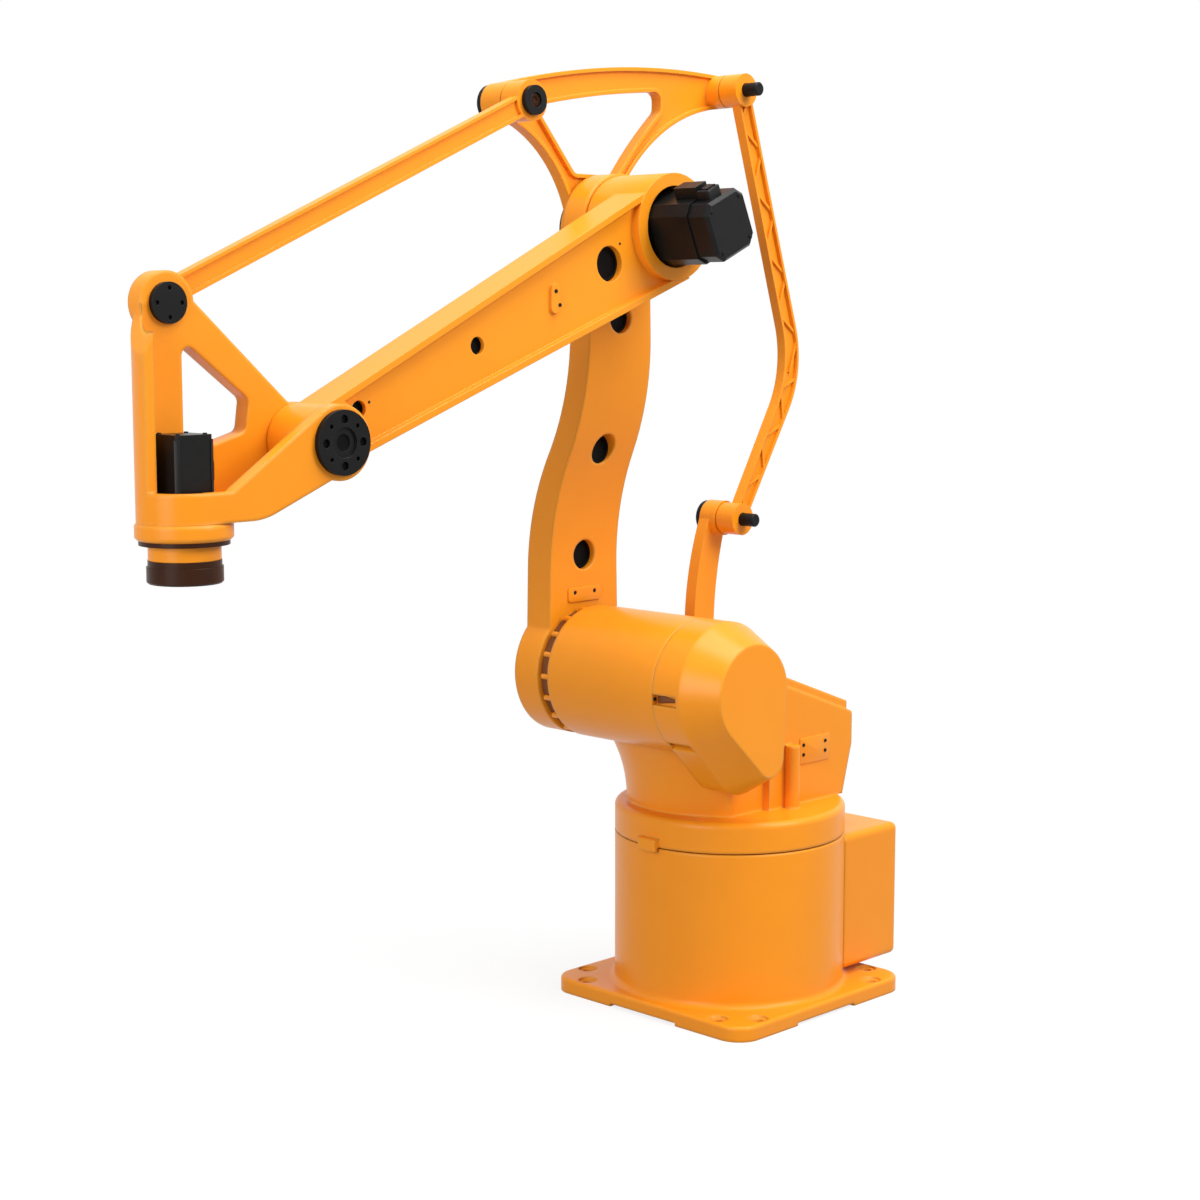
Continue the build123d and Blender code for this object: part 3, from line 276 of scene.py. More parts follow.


# The edge mask paints a highlight: where the true normal parts from the rounded one, it lets a paler colour
# in.
def make_edge_highlight_group():
    group, given, result = new_group("painted_edge_highlight", (
        ("Soft Normal", "NodeSocketVector", (0.0, 0.0, 0.0)), ("Gain", NUMBER, EDGE_HIGHLIGHT_GAIN)), ("Painted Highlight",))
    true_normal = group.nodes.new("ShaderNodeNewGeometry").outputs["Normal"]
    dot = group.nodes.new("ShaderNodeVectorMath")
    dot.operation = "DOT_PRODUCT"
    group.links.new(given.outputs["Soft Normal"], dot.inputs[0])
    group.links.new(true_normal, dot.inputs[1])
    apart = math_node(group, "SUBTRACT", 1.0, dot.outputs["Value"])
    edge = math_node(group, "MULTIPLY", apart, given.outputs["Gain"])
    kept = math_node(group, "MINIMUM", math_node(group, "MAXIMUM", edge, 0.0), 1.0)
    group.links.new(kept, result.inputs["Painted Highlight"])
    return group


coat_group = make_coat_group()
edge_highlight_group = make_edge_highlight_group()
print("shared groups:", coat_group.name, edge_highlight_group.name)

# %% [markdown]
# ## Materials
# Orange satin paint covers the castings and the links. Pins and caps are blackened steel, the motors carry a
# smooth black lacquer, the slewing ring, the gears and the wrist shaft are dark oiled steel, and the tool
# flange and the wrist seal are steel that was browned in hot oil. A near black finish paints the shade in the
# core holes, in the bore of the wrist cap and on the screws in its counterbores. The screws of the far caps
# and the air fittings are nickel plated. Each material mixes two close colours by broad and coarse noise, so
# no surface is one flat colour, and a Bevel node rounds the edges the way a sanded casting is rounded: widely
# on the large castings, hardly at all on the thin links. A paler colour on the edges is a painted highlight.

# %% Make the materials
EDGE_SAMPLES = 6
TONE_STOPS = (0.3, 0.7)
RELIEF_DEPTH = 0.6 * MM


def finish(name, colours, roughness, specular, coarse, fine, bump, rounding, metallic=0.0):
    """Material of two close colours and a painted highlight on its edges. Roughness is a middle and a spread,
    coarse and fine are the scale and height of the two noises, and rounding is the radius of the edges."""
    material = bpy.data.materials.new(name)
    material.use_nodes = True
    tree = material.node_tree
    tree.nodes.clear()
    shader = tree.nodes.new("ShaderNodeBsdfPrincipled")
    shader.inputs["Metallic"].default_value = metallic
    shader.inputs["Specular IOR Level"].default_value = specular
    surface = tree.nodes.new("ShaderNodeGroup")
    surface.node_tree = coat_group
    surface.inputs["Coarse Scale"].default_value, surface.inputs["Coarse Height"].default_value = coarse
    surface.inputs["Fine Scale"].default_value, surface.inputs["Fine Height"].default_value = fine
    surface.inputs["Roughness"].default_value, surface.inputs["Roughness Spread"].default_value = roughness
    soft_edge = tree.nodes.new("ShaderNodeBevel")
    soft_edge.samples = EDGE_SAMPLES
    soft_edge.inputs["Radius"].default_value = rounding
    rim = tree.nodes.new("ShaderNodeGroup")
    rim.node_tree = edge_highlight_group
    tree.links.new(soft_edge.outputs["Normal"], rim.inputs["Soft Normal"])
    # The third colour is the painted highlight on the edges.
    dark, light, edge = colours
    ramp = tree.nodes.new("ShaderNodeValToRGB")
    for stop, position, colour in zip(ramp.color_ramp.elements, TONE_STOPS, (dark, light)):
        stop.position = position
        stop.color = (*colour, 1.0)
    tree.links.new(surface.outputs["Tone"], ramp.inputs["Fac"])
    # Painted highlight: the edge mask mixes a paler colour in along the edges.
    paler = tree.nodes.new("ShaderNodeMix")
    paler.data_type = "RGBA"
    tree.links.new(rim.outputs["Painted Highlight"], paler.inputs["Factor"])
    tree.links.new(ramp.outputs["Color"], paler.inputs[COLOUR_A])
    paler.inputs[COLOUR_B].default_value = (*edge, 1.0)
    tree.links.new(paler.outputs[COLOUR_OUT], shader.inputs["Base Color"])
    tree.links.new(surface.outputs["Roughness"], shader.inputs["Roughness"])
    relief = tree.nodes.new("ShaderNodeBump")
    relief.inputs["Strength"].default_value = bump
    relief.inputs["Distance"].default_value = RELIEF_DEPTH
    tree.links.new(surface.outputs["Height"], relief.inputs["Height"])
    tree.links.new(soft_edge.outputs["Normal"], relief.inputs["Normal"])
    tree.links.new(relief.outputs["Normal"], shader.inputs["Normal"])
    output = tree.nodes.new("ShaderNodeOutputMaterial")
    tree.links.new(shader.outputs["BSDF"], output.inputs["Surface"])
    return material


# Dark and light colour of each finish, and the paler colour of its painted edge highlight.
ORANGE = ((0.81, 0.262, 0.008), (0.85, 0.290, 0.012), (0.88, 0.40, 0.05))
BLACK = ((0.005, 0.005, 0.005), (0.008, 0.008, 0.008), (0.030, 0.030, 0.030))
LACQUER = ((0.005, 0.005, 0.005), (0.008, 0.008, 0.008), (0.016, 0.016, 0.016))
OILED = ((0.15, 0.052, 0.017), (0.22, 0.08, 0.028), (0.28, 0.12, 0.05))
BROWNED = ((0.030, 0.009, 0.003), (0.048, 0.014, 0.004), (0.07, 0.026, 0.010))
NICKEL = ((0.42, 0.41, 0.39), (0.52, 0.51, 0.48), (0.60, 0.59, 0.56))
# Near black of the painted shade in holes and counterbores.
SHADE_BLACK = ((0.002, 0.002, 0.002), (0.004, 0.003, 0.003), (0.008, 0.007, 0.007))
PAINT = dict(roughness=(0.32, 0.10), specular=0.24, coarse=(26.0, 0.5), fine=(1100.0, 0.12))

orange_paint = finish("orange_paint", ORANGE, **PAINT, bump=0.25, rounding=1.6 * MM)
orange_cast = finish("orange_cast", ORANGE, **PAINT, bump=0.25, rounding=6 * MM)
orange_thin = finish("orange_thin", ORANGE, **PAINT, bump=0.12, rounding=0.4 * MM)
black_steel = finish("black_steel", BLACK, roughness=(0.38, 0.12), specular=0.12, coarse=(60.0, 0.3),
                     fine=(1800.0, 0.1), bump=0.12, rounding=0.8 * MM)
motor_black = finish("motor_black", LACQUER, roughness=(0.32, 0.10), specular=0.14, coarse=(80.0, 0.2),
                     fine=(1600.0, 0.1), bump=0.08, rounding=1 * MM)
dark_steel = finish("dark_steel", OILED, roughness=(0.40, 0.16), specular=0.2, coarse=(120.0, 0.3),
                    fine=(1500.0, 0.1), bump=0.2, rounding=0.6 * MM, metallic=0.2)
browned_steel = finish("browned_steel", BROWNED, roughness=(0.34, 0.14), specular=0.12, coarse=(70.0, 0.3),
                       fine=(1500.0, 0.1), bump=0.15, rounding=0.8 * MM)
nickel_steel = finish("nickel_steel", NICKEL, roughness=(0.34, 0.16), specular=0.5, coarse=(140.0, 0.3),
                      fine=(1500.0, 0.1), bump=0.15, rounding=0.5 * MM, metallic=0.9)
# The near black finish paints shade in holes and counterbores.
painted_shade_black = finish("painted_shade_black", SHADE_BLACK, roughness=(0.5, 0.15), specular=0.06, coarse=(90.0, 0.4),
                      fine=(1400.0, 0.2), bump=0.2, rounding=0.8 * MM)
finishes = {"orange_paint": orange_paint, "black_steel": black_steel,
            "motor_black": motor_black, "dark_steel": dark_steel}
own_finish = {"tool_flange": browned_steel, "wrist_seal": browned_steel,
              "rear_link": orange_thin, "front_link": orange_thin}
for name in ("lower_arm_casting", "turret_casting", "shoulder_motor_cover", "base_casting", "connector_box",
             "wrist_casting"):
    own_finish[name] = orange_cast

slot_of = {row["node"]: row["material_slot"] for row in frame["record"]["subparts"]}
for name, solid in nodes.items():
    solid.data.materials.clear()
    solid.data.materials.append(own_finish.get(name, finishes[slot_of[name]]))
print("finishes:", {name: sum(s == name for s in slot_of.values()) for name in finishes})

# %% [markdown]
# ## Ways of working by hand
# Every small piece is made the same way: a primitive stands upright on the ground at the origin, gets its
# shape in edit mode, and is then copied to its seats on the arm. These helpers pick faces and edges by
# where they are, turn a piece to face a side of the arm, and join copies to one piece. The first one of each
# kind is a model, which stays at the origin until the bench is cleared.

# %% Define the bench tools
NEAR, FAR = Vector((0, 1, 0)), Vector((0, -1, 0))
BACK, UP = Vector((-1, 0, 0)), Vector((0, 0, 1))
SAME_HEIGHT = 0.01 * MM
FACES_UP = 0.99
RIM_STEPS = 2
SMOOTH_ANGLE = math.radians(35)


def pick(*pieces):
    bpy.ops.object.select_all(action="DESELECT")
    for piece in pieces:
        piece.select_set(True)
        bpy.context.view_layer.objects.active = piece


def choose(piece, kind, test):
    """In edit mode, selects faces by a test on place and normal, or edges by one on their two ends."""
    bpy.ops.mesh.select_mode(type=kind)
    bpy.ops.mesh.select_all(action="DESELECT")
    bpy.ops.object.mode_set(mode="OBJECT")
    mesh = piece.data
    if kind == "FACE":
        for face in mesh.polygons:
            face.select = test(face.center, face.normal)
    else:
        for edge in mesh.edges:
            edge.select = test(*(mesh.vertices[i].co for i in edge.vertices))
    bpy.ops.object.mode_set(mode="EDIT")


def settle(piece):
    """Puts the place, turn and size of a piece into its mesh."""
    pick(piece)
    bpy.ops.object.transform_apply(location=True, rotation=True, scale=True)


def cut(piece, tool):
    """Takes the shape of the tool away from the piece."""
    pick(piece)
    bpy.ops.object.modifier_add(type="BOOLEAN")
    change = piece.modifiers[-1]
    change.operation, change.solver, change.object = "DIFFERENCE", "EXACT", tool
    bpy.ops.object.modifier_apply(modifier=change.name)
    bpy.data.objects.remove(tool, do_unlink=True)


def upright_round(name, radius, height, sides):
    bpy.ops.object.select_all(action="DESELECT")
    bpy.ops.mesh.primitive_cylinder_add(vertices=sides, radius=radius, depth=height,
                                        location=(0, 0, height / 2))
    piece = bpy.context.object
    piece.name = name
    settle(piece)
    return piece


def round_rim(piece, height, width):
    """Rounds the edges that lie at one height."""
    pick(piece)
    bpy.ops.object.mode_set(mode="EDIT")
    choose(piece, "EDGE", lambda a, b: max(abs(a.z - height), abs(b.z - height)) < SAME_HEIGHT)
    bpy.ops.mesh.bevel(offset=width, segments=RIM_STEPS)
    bpy.ops.object.mode_set(mode="OBJECT")


def sink_top(piece, height, border, depth):
    """Insets the level face at one height and pushes it down, or up with a depth below zero."""
    pick(piece)
    bpy.ops.object.mode_set(mode="EDIT")
    choose(piece, "FACE", lambda at, way: way.z > FACES_UP and abs(at.z - height) < SAME_HEIGHT)
    bpy.ops.mesh.inset(thickness=border)
    bpy.ops.mesh.extrude_region_move(TRANSFORM_OT_translate={"value": (0, 0, -depth)})
    bpy.ops.object.mode_set(mode="OBJECT")


def seat(place, way):
    """Matrix that carries an upright piece to a place, facing one way."""
    return Matrix.Translation(place) @ UP.rotation_difference(way).to_matrix().to_4x4()


def at_pivot(middle, y):
    """Place on the cross axis through a pivot."""
    return Vector((middle.x, y, middle.z))


def round_about(middle, radius, count, y, first=0.0):
    """Places on a circle round a cross axis of the arm, the first one at an angle in degrees."""
    angles = [math.radians(first + 360 / count * i) for i in range(count)]
    return [Vector((middle.x + radius * math.cos(a), y, middle.z + radius * math.sin(a))) for a in angles]


def copy_to(model, name, seats):
    """Copies a model to its seats and joins the copies to one piece."""
    copies = []
    for where in seats:
        pick(model)
        bpy.ops.object.duplicate(linked=False)
        copy = bpy.context.object
        copy.matrix_world = where
        settle(copy)
        copies.append(copy)
    pick(*copies)
    if len(copies) > 1:
        bpy.ops.object.join()
    piece = bpy.context.object
    piece.name = piece.data.name = name
    return piece


def fit(piece, body, material):
    """Gives a piece its finish and the body that carries it."""
    piece.data.materials.clear()
    piece.data.materials.append(material)
    pick(piece)
    bpy.ops.object.shade_smooth_by_angle(angle=SMOOTH_ANGLE)
    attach(piece, body)
    print(piece.name, "rides on", body, "with", len(piece.data.polygons), "faces")


def mount(model, name, places, way, body, material):
    """Copies a model to places on the arm, all facing one way, and fits them as one piece."""
    fit(copy_to(model, name, [seat(place, way) for place in places]), body, material)


# %% [markdown]
# ## The socket screw
# Nearly all the screws on such an arm are socket heads: a short round head with a hexagon hole for the key.
# A cylinder is rounded at its rim and a six-sided bar is cut from it. One model serves for each size.

# %% Model the screws
HEAD_SIDES, KEY_SIDES = 20, 6
HEAD_ROUNDING = 0.14
KEY_SIZE = 0.52


def make_screw(name, radius, height):
    screw = upright_round(name, radius, height, HEAD_SIDES)
    round_rim(screw, height, HEAD_ROUNDING * radius)
    bpy.ops.object.select_all(action="DESELECT")
    bpy.ops.mesh.primitive_cylinder_add(vertices=KEY_SIDES, radius=KEY_SIZE * radius, depth=height,
                                        location=(0, 0, height))
    cut(screw, bpy.context.object)
    return screw


ring_screw = make_screw("ring_screw_model", radius=3.6 * MM, height=13 * MM)
large_screw = make_screw("large_screw_model", radius=5.0 * MM, height=5 * MM)
middle_screw = make_screw("middle_screw_model", radius=4.2 * MM, height=3 * MM)
small_screw = make_screw("small_screw_model", radius=2.4 * MM, height=1.6 * MM)
tiny_screw = make_screw("tiny_screw_model", radius=1.6 * MM, height=0.8 * MM)
low_screw = make_screw("low_screw_model", radius=4.4 * MM, height=1.2 * MM)

# %% [markdown]
# ## Screws of the shoulder bearing
# Between the drum and the foot of the lower arm is a narrow gap. The bearing in it is held by a ring of
# screws, and their heads were sprayed with the drum, so they show as small orange bumps in the dark gap.

# %% Set the ring of shoulder screws
RING_SCREWS = 18
RING_RADIUS = 84 * MM
arm_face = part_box("shoulder_reducer")[0].y
drum_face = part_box("shoulder_reducer")[1].y
places = round_about(SHOULDER, RING_RADIUS, RING_SCREWS, drum_face)
mount(ring_screw, "shoulder_ring_screws", places, FAR, "turret", orange_paint)

# %% [markdown]
# ## Painted shade in the core holes
# On such an arm the long castings are hollow, and the holes that the core left are dark inside. Near black
# discs, set a little below the face, paint that shade. A disc is a short cylinder whose top is inset and
# pushed down, so that its rim catches the light. An orange painted disc backs the middle one in the lower
# arm, where the arm sweeps across behind the hole and its floor is thinnest.

# %% Set the painted shade in the core holes
BEAM_FALL = math.radians(24)
HOLE_DISC_SIDES = 48
HOLE_SHADE_BORDER = 0.16
HOLE_SHADE_SINK, HOLE_SHADE_EDGE = 2.5 * MM, 0.6 * MM
ARM_HOLE_SHADE_RADIUS, ARM_HOLE_SHADE_HEIGHT = 19.8 * MM, 14 * MM
HOLE_FLOOR_THICK = 3.6 * MM
BEAM_HOLE_FLOOR = -5 * MM


def on_beam(along, across, y):
    """Place on the forearm, along its middle line from the elbow and square to it."""
    return Vector((ELBOW.x + along * math.cos(BEAM_FALL) + across * math.sin(BEAM_FALL), y,
                   ELBOW.z - along * math.sin(BEAM_FALL) + across * math.cos(BEAM_FALL)))


# A near black disc in a core hole is painted shade.
def make_hole_shade(name, radius, height):
    plug = upright_round(name, radius, height, HOLE_DISC_SIDES)
    sink_top(plug, height, HOLE_SHADE_BORDER * radius, HOLE_SHADE_SINK)
    round_rim(plug, height, HOLE_SHADE_EDGE)
    return plug


arm_hole_shade = make_hole_shade("arm_plug_model", ARM_HOLE_SHADE_RADIUS, ARM_HOLE_SHADE_HEIGHT)
arm_middle = (SHOULDER + ELBOW) / 2
low_seat = Vector((SHOULDER.x, -155 * MM, SHOULDER.z + 154 * MM))
middle_seat = Vector((SHOULDER.x, -121 * MM, arm_middle.z + 6 * MM))
high_seat = Vector((SHOULDER.x, -87 * MM, ELBOW.z - 114 * MM))
mount(arm_hole_shade, "lower_arm_plugs", (low_seat, middle_seat, high_seat), NEAR,
      "lower_arm", painted_shade_black)
floor_disc = upright_round("hole_floor_model", ARM_HOLE_SHADE_RADIUS, HOLE_FLOOR_THICK, HOLE_DISC_SIDES)
mount(floor_disc, "lower_arm_hole_floor", (middle_seat,), FAR, "lower_arm", orange_cast)

# The core holes of the forearm get the same painted shade.
for name, radius, height, along, across in (("elbow_hole_plug", 21.8, 16, 117, 0),
                                            ("beam_hole_plug", 10.3, 19, 358, 0),
                                            ("wrist_hole_plug", 9.8, 19, 549, 10)):
    plug = make_hole_shade(name + "_model", radius * MM, height * MM)
    places = (on_beam(along * MM, across * MM, BEAM_HOLE_FLOOR),)
    mount(plug, name, places, NEAR, "forearm", painted_shade_black)

# %% [markdown]
# ## Small plates
# A pad with two screws sits low on the lower arm, and a thin plate with four screws on the side of the
# turret. Each is a cube made flat, with its upright edges bevelled to round the corners and its rim bevelled
# to catch the light.

# %% Fix the plates
CORNER_STEPS = 4
DRILL_SIDES = 20


def make_plate(name, width, height, thickness, corner, edge):
    bpy.ops.object.select_all(action="DESELECT")
    bpy.ops.mesh.primitive_cube_add(size=1.0, location=(0, 0, thickness / 2))
    plate = bpy.context.object
    plate.name = name
    plate.scale = (width, height, thickness)
    settle(plate)
    bpy.ops.object.mode_set(mode="EDIT")
    choose(plate, "EDGE", lambda a, b: abs(a.z - b.z) > thickness / 2)
    bpy.ops.mesh.bevel(offset=corner, segments=CORNER_STEPS)
    bpy.ops.object.mode_set(mode="OBJECT")
    round_rim(plate, thickness, edge)
    return plate


def drill(plate, places, radius, depth):
    """Drills holes from the top of a lying plate."""
    top = max(v.co.z for v in plate.data.vertices)
    for x, y in places:
        bpy.ops.object.select_all(action="DESELECT")
        bpy.ops.mesh.primitive_cylinder_add(vertices=DRILL_SIDES, radius=radius, depth=2 * depth,
                                            location=(x, y, top))
        cut(plate, bpy.context.object)


PAD_CENTRE = Vector((147.5 * MM, arm_face - 0.3 * MM, 548.5 * MM))
PAD_HOLE_ACROSS, PAD_HOLE_UP = 18.2 * MM, 2.6 * MM
PAD_SCREW_RISE = 0.6 * MM
pad = make_plate("arm_pad_model", width=60 * MM, height=20 * MM, thickness=2.6 * MM, corner=4.5 * MM,
                 edge=0.7 * MM)
pad_holes = [(x, -PAD_HOLE_UP) for x in (-PAD_HOLE_ACROSS, PAD_HOLE_ACROSS)]
drill(pad, pad_holes, radius=3.0 * MM, depth=2.0 * MM)
mount(pad, "lower_arm_pad", (PAD_CENTRE,), NEAR, "lower_arm", orange_paint)
places = [PAD_CENTRE + Vector((x, PAD_SCREW_RISE, -y)) for x, y in pad_holes]
mount(small_screw, "lower_arm_pad_screws", places, NEAR, "lower_arm", black_steel)

SIDE_FACE = 90 * MM
SIDE_PLATE_CENTRE = Vector((-69 * MM, SIDE_FACE, 338 * MM))
SIDE_SCREW_RISE = 1.2 * MM
SIDE_SCREWS = ((-44.4, 346.2), (-90.3, 346.4), (-44.5, 333.0), (-90.3, 333.1))
plate = make_plate("side_plate_model", width=62 * MM, height=36 * MM, thickness=1.6 * MM, corner=2 * MM,
                   edge=0.5 * MM)
mount(plate, "turret_side_plate", (SIDE_PLATE_CENTRE,), NEAR, "turret", orange_paint)
places = [Vector((x * MM, SIDE_FACE + SIDE_SCREW_RISE, z * MM)) for x, z in SIDE_SCREWS]
mount(small_screw, "turret_side_screws", places, NEAR, "turret", black_steel)

# %% [markdown]
# ## Screws on the forearm and the shoulder cover
# Two screws hold the small pad on the forearm, and a grub screw sits beside each of two core holes. The motor
# cover of the shoulder is held by screws at the seam end of its notches. A dark plate in each notch is
# painted shade. It is a flat plate whose near end was scaled down, so that it tapers.

# %% Set these screws
WEB_FACE, BEAM_PAD_FACE = 19 * MM, 23 * MM
PAD_SCREW_SUNK, GRUB_SCREW_SUNK = 0.4 * MM, 0.2 * MM
BEAM_PAD_SCREWS = ((349.8, 946.5), (343.2, 929.9))
GRUB_SCREWS = ((235.7, 1005.3), (637.8, 821.6))
places = [Vector((x * MM, BEAM_PAD_FACE - PAD_SCREW_SUNK, z * MM)) for x, z in BEAM_PAD_SCREWS]
mount(small_screw, "forearm_pad_screws", places, NEAR, "forearm", black_steel)
places = [Vector((x * MM, WEB_FACE - GRUB_SCREW_SUNK, z * MM)) for x, z in GRUB_SCREWS]
mount(tiny_screw, "forearm_grub_screws", places, NEAR, "forearm", black_steel)

NOTCH_ANGLES = (-4, -52)
NOTCH_SCREW_RADIUS, NOTCH_FLOOR = 83.5 * MM, 79 * MM
NOTCH_SHADE_LENGTH, NOTCH_SHADE_WIDTH, NOTCH_SHADE_THICK = 34 * MM, 12 * MM, 1.4 * MM
NOTCH_SHADE_CORNER, NOTCH_SHADE_END = 1.5 * MM, 2 * MM
NOTCH_SHADE_TAPER = 0.25
NOTCH_SHADE_FROM_SEAM = 19.5 * MM
cover_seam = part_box("shoulder_motor_cover")[0].y
places = [round_about(SHOULDER, NOTCH_SCREW_RADIUS, 1, cover_seam, first=angle)[0] for angle in NOTCH_ANGLES]
mount(small_screw, "shoulder_cover_screws", places, NEAR, "turret", black_steel)

# Painted shade in each notch: a dark steel plate that tapers.
shade_plate = make_plate("notch_liner_model", NOTCH_SHADE_LENGTH, NOTCH_SHADE_WIDTH, NOTCH_SHADE_THICK, NOTCH_SHADE_CORNER, edge=0.4 * MM)
bpy.ops.object.mode_set(mode="EDIT")
choose(shade_plate, "FACE", lambda at, way: at.x > NOTCH_SHADE_LENGTH / 2 - NOTCH_SHADE_END)
bpy.ops.transform.resize(value=(1, NOTCH_SHADE_TAPER, 1), center_override=(NOTCH_SHADE_LENGTH / 2, 0, NOTCH_SHADE_THICK / 2))
bpy.ops.object.mode_set(mode="OBJECT")
shade_plate_seats = []
for angle in NOTCH_ANGLES:
    out = Vector((math.cos(math.radians(angle)), 0, math.sin(math.radians(angle))))
    place = at_pivot(SHOULDER, cover_seam + NOTCH_SHADE_FROM_SEAM) + out * NOTCH_FLOOR
    turn = Matrix((NEAR, out.cross(NEAR), out)).transposed().to_4x4()
    shade_plate_seats.append(Matrix.Translation(place) @ turn)
fit(copy_to(shade_plate, "shoulder_notch_liners", shade_plate_seats), "turret", dark_steel)

# %% [markdown]
# ## Screws of the caps
# The round black caps on the pivots are held by screws in counterbores on the near side, and by a small ring
# of screws on the far side, where the pins come through. The wrist cap screws take the near black finish,
# which paints the shade of their counterbores, and a near black cup down in the middle bore of the wrist cap
# is painted shade.

# %% Set the cap screws
COUNTERBORE = 4 * MM
BORE_RADIUS, BORE_THICK, BORE_DEPTH = 9.3 * MM, 1.2 * MM, 5 * MM
wrist_cap_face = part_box("wrist_pivot_cap")[1].y
places = round_about(WRIST, radius=25.5 * MM, count=4, y=wrist_cap_face - COUNTERBORE)
# The near black of these screws is painted shade of the counterbores.
mount(low_screw, "wrist_cap_screws", places, NEAR, "wrist", painted_shade_black)
# Painted shade in the middle bore: a near black cup.
bore_shade = upright_round("bore_end_model", BORE_RADIUS, BORE_THICK, sides=40)
sink_top(bore_shade, BORE_THICK, border=1.5 * MM, depth=0.8 * MM)
places = (at_pivot(WRIST, wrist_cap_face - BORE_DEPTH),)
mount(bore_shade, "wrist_cap_bore", places, NEAR, "wrist", painted_shade_black)

link_cap_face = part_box("wrist_link_pin")[1].y
places = round_about(WRIST_PIN, radius=15.5 * MM, count=4, y=link_cap_face - COUNTERBORE)
mount(small_screw, "wrist_link_cap_screws", places, NEAR, "wrist", black_steel)

for node, middle, radius, body in (("front_triangle_pin", FRONT_PIN, 14 * MM, "link_triangle"),
                                   ("rear_triangle_pin", REAR_PIN, 12 * MM, "link_triangle"),
                                   ("post_pin", POST_PIN, 13 * MM, "turret")):
    places = round_about(middle, radius, count=3, y=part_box(node)[0].y, first=90)
    mount(small_screw, node + "_screws", places, FAR, body, nickel_steel)
places = round_about(ELBOW, radius=36 * MM, count=8, y=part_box("elbow_shaft")[0].y, first=22.5)
mount(middle_screw, "elbow_cap_screws", places, FAR, "lower_arm", nickel_steel)

# %% [markdown]
# ## Far side of the shoulder
# The lower arm is bolted to the output of its gear from the far side. A ring of large screws stands round a
# shallow cover, which is a disc with a sunk middle and a raised centre.

# %% Close the far side of the shoulder
COVER_HEIGHT, COVER_SINK = 6 * MM, 2 * MM
foot_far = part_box("lower_arm_casting")[0].y
cover = upright_round("foot_cover_model", radius=44 * MM, height=COVER_HEIGHT, sides=64)
sink_top(cover, COVER_HEIGHT, border=7 * MM, depth=COVER_SINK)
sink_top(cover, COVER_HEIGHT - COVER_SINK, border=12 * MM, depth=-1.2 * MM)
round_rim(cover, COVER_HEIGHT, width=1.0 * MM)
places = (at_pivot(SHOULDER, foot_far),)
mount(cover, "lower_arm_foot_cover", places, FAR, "lower_arm", orange_paint)
places = round_about(SHOULDER, radius=62 * MM, count=12, y=foot_far, first=15)
mount(large_screw, "lower_arm_foot_screws", places, FAR, "lower_arm", black_steel)

# %% [markdown]
# ## End of the front pin
# The nut on the front pin of the triangle has a bore, in which the end of the pin shows, browned and turned
# with a small centre hole from the lathe.

# %% Show the end of the pin
PIN_END_HEIGHT, PIN_END_DEPTH = 2.6 * MM, 5 * MM
pin_end = upright_round("pin_end_model", radius=8.6 * MM, height=PIN_END_HEIGHT, sides=40)
sink_top(pin_end, PIN_END_HEIGHT, border=5.4 * MM, depth=1.6 * MM)
round_rim(pin_end, PIN_END_HEIGHT, width=0.5 * MM)
nut_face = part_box("front_triangle_pin")[1].y
places = (at_pivot(FRONT_PIN, nut_face - PIN_END_DEPTH),)
mount(pin_end, "front_pin_end", places, NEAR, "link_triangle", browned_steel)

# %% [markdown]
# ## Elbow motor
# A second plug sits on the end cap of the motor, next to the one on its body, and four screws hold the cap.
# The plug is a bevelled block with a raised lid. It is turned to the slope of the forearm.

# %% Dress the elbow motor
CAP_HALF = 38 * MM
CAP_PLUG_HEIGHT, CAP_PLUG_SUNK = 13 * MM, 1 * MM
CAP_PLUG_ALONG, CAP_PLUG_OUT = 2 * MM, 12 * MM
CAP_SCREW_OFF, CAP_SCREW_SUNK = 27 * MM, 0.2 * MM
slope = Matrix.Rotation(BEAM_FALL, 4, "Y")
cap_low, cap_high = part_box("elbow_motor_cap")
block = make_plate("cap_plug_model", width=24 * MM, height=20 * MM, thickness=CAP_PLUG_HEIGHT,
                   corner=2.5 * MM, edge=1.5 * MM)
sink_top(block, CAP_PLUG_HEIGHT, border=3 * MM, depth=-1.5 * MM)
plug_seat = (Matrix.Translation(at_pivot(ELBOW, cap_low.y + CAP_PLUG_OUT)) @ slope
             @ Matrix.Translation((CAP_PLUG_ALONG, 0, CAP_HALF - CAP_PLUG_SUNK)))
fit(copy_to(block, "elbow_cap_plug", [plug_seat]), "forearm", motor_black)
places = [on_beam(along, across, cap_high.y - CAP_SCREW_SUNK)
          for along in (-CAP_SCREW_OFF, CAP_SCREW_OFF) for across in (-CAP_SCREW_OFF, CAP_SCREW_OFF)]
mount(small_screw, "elbow_cap_corner_screws", places, NEAR, "forearm", black_steel)

# %% [markdown]
# ## Wrist motor
# The little motor in the wrist has a strip down each corner, a plug on its rear side and four screws in its
# lid. The strip is a long cube with rounded edges, set on the corner at 45 degrees.

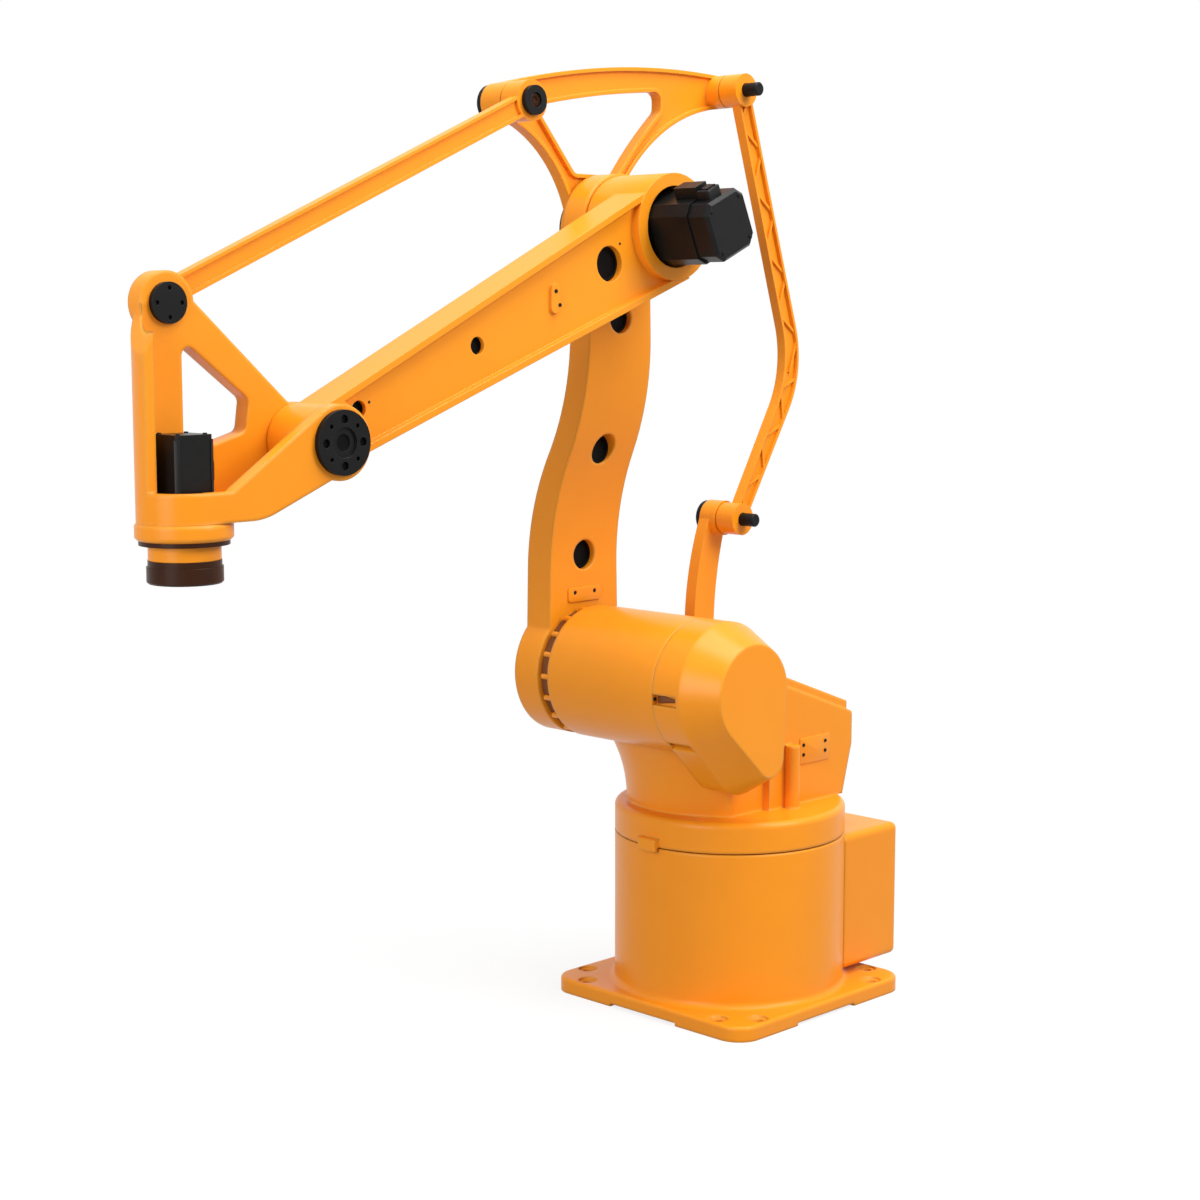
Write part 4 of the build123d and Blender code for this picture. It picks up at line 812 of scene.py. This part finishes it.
# %% Dress the wrist motor
STRIP_SHORTER, STRIP_SUNK = 5 * MM, 0.9 * MM
MOTOR_PLUG_HEIGHT = 4 * MM
MOTOR_PLUG_ASIDE, MOTOR_PLUG_DOWN = 10 * MM, 39 * MM
LID_SCREW_OFF, LID_SCREW_SUNK = 17 * MM, 0.2 * MM
motor_low, motor_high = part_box("wrist_motor")
motor_mid = (motor_low + motor_high) / 2
strip = make_plate("corner_strip_model", width=6.4 * MM, height=1.8 * MM,
                   thickness=motor_high.z - motor_low.z - STRIP_SHORTER, corner=0.6 * MM, edge=0.6 * MM)
corner_out = (motor_high.x - motor_mid.x - STRIP_SUNK) * math.sqrt(2)
motor_foot = Matrix.Translation((motor_mid.x, motor_mid.y, motor_low.z))
across_corner = Matrix.Translation((corner_out, 0, 0)) @ Matrix.Rotation(math.radians(90), 4, "Z")
strip_seats = [motor_foot @ Matrix.Rotation(math.radians(angle), 4, "Z") @ across_corner
               for angle in (45, 135, 225, 315)]
fit(copy_to(strip, "wrist_motor_strips", strip_seats), "wrist", motor_black)

socket = make_plate("motor_plug_model", width=22 * MM, height=18 * MM, thickness=MOTOR_PLUG_HEIGHT,
                    corner=2 * MM, edge=0.8 * MM)
sink_top(socket, MOTOR_PLUG_HEIGHT, border=3 * MM, depth=1.2 * MM)
places = (Vector((motor_low.x, motor_mid.y + MOTOR_PLUG_ASIDE, motor_high.z - MOTOR_PLUG_DOWN)),)
mount(socket, "wrist_motor_plug", places, BACK, "wrist", motor_black)
places = [Vector((motor_mid.x + x, motor_mid.y + y, motor_high.z - LID_SCREW_SUNK))
          for x in (-LID_SCREW_OFF, LID_SCREW_OFF) for y in (-LID_SCREW_OFF, LID_SCREW_OFF)]
mount(small_screw, "wrist_motor_lid_screws", places, UP, "wrist", black_steel)

# %% [markdown]
# ## Rear panel of the connector box
# Power and signals enter at the back of the base. A thin panel carries two round sockets, two small air
# fittings and two rows of screws. A socket is a cylinder whose top is sunk and holds a raised insert.

# %% Make the rear panel
PANEL_THICK = 2.5 * MM
SOCKET_HEIGHT, SOCKET_SINK = 16 * MM, 9 * MM
FITTING_HEIGHT = 14 * MM
# Places on the panel across and up, in millimetres from its middle.
SOCKET_PLACES = ((-48, 14), (30, 14))
FITTING_PLACES = ((10, -44), (44, -44))
SCREW_COLUMNS, SCREW_ROWS = (-90, -30, 30, 90), (-66, 66)
box_low, box_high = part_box("connector_box")
panel_mid = Vector((box_low.x, (box_low.y + box_high.y) / 2, (box_low.z + box_high.z) / 2))
panel = make_plate("panel_model", width=150 * MM, height=200 * MM, thickness=PANEL_THICK, corner=8 * MM,
                   edge=0.8 * MM)
mount(panel, "rear_panel", (panel_mid,), BACK, "base", orange_paint)


def on_panel(y, z):
    """Place on the face of the panel, in millimetres from its middle."""
    return Vector((box_low.x - PANEL_THICK, panel_mid.y + y * MM, panel_mid.z + z * MM))


round_socket = upright_round("socket_model", radius=24 * MM, height=SOCKET_HEIGHT, sides=48)
sink_top(round_socket, SOCKET_HEIGHT, border=4 * MM, depth=SOCKET_SINK)
sink_top(round_socket, SOCKET_HEIGHT - SOCKET_SINK, border=4 * MM, depth=-5 * MM)
round_rim(round_socket, SOCKET_HEIGHT, width=1.0 * MM)
places = [on_panel(y, z) for y, z in SOCKET_PLACES]
mount(round_socket, "rear_sockets", places, BACK, "base", black_steel)
fitting = upright_round("fitting_model", radius=8 * MM, height=FITTING_HEIGHT, sides=6)
sink_top(fitting, FITTING_HEIGHT, border=2.6 * MM, depth=8 * MM)
places = [on_panel(y, z) for y, z in FITTING_PLACES]
mount(fitting, "rear_air_fittings", places, BACK, "base", nickel_steel)
places = [on_panel(y, z) for y in SCREW_COLUMNS for z in SCREW_ROWS]
mount(small_screw, "rear_panel_screws", places, BACK, "base", black_steel)

# %% [markdown]
# ## Put the models away
# The models were only patterns for the copies, so they are taken out of the scene.

# %% Clear the bench
for model in [o for o in bpy.data.objects if o.name.endswith("_model")]:
    bpy.data.objects.remove(model, do_unlink=True)
pieces = [o for o in bpy.data.objects if o.type == "MESH" and o.name not in nodes and o is not floor]
print("pieces:", len(pieces), "faces:", sum(len(p.data.polygons) for p in pieces))
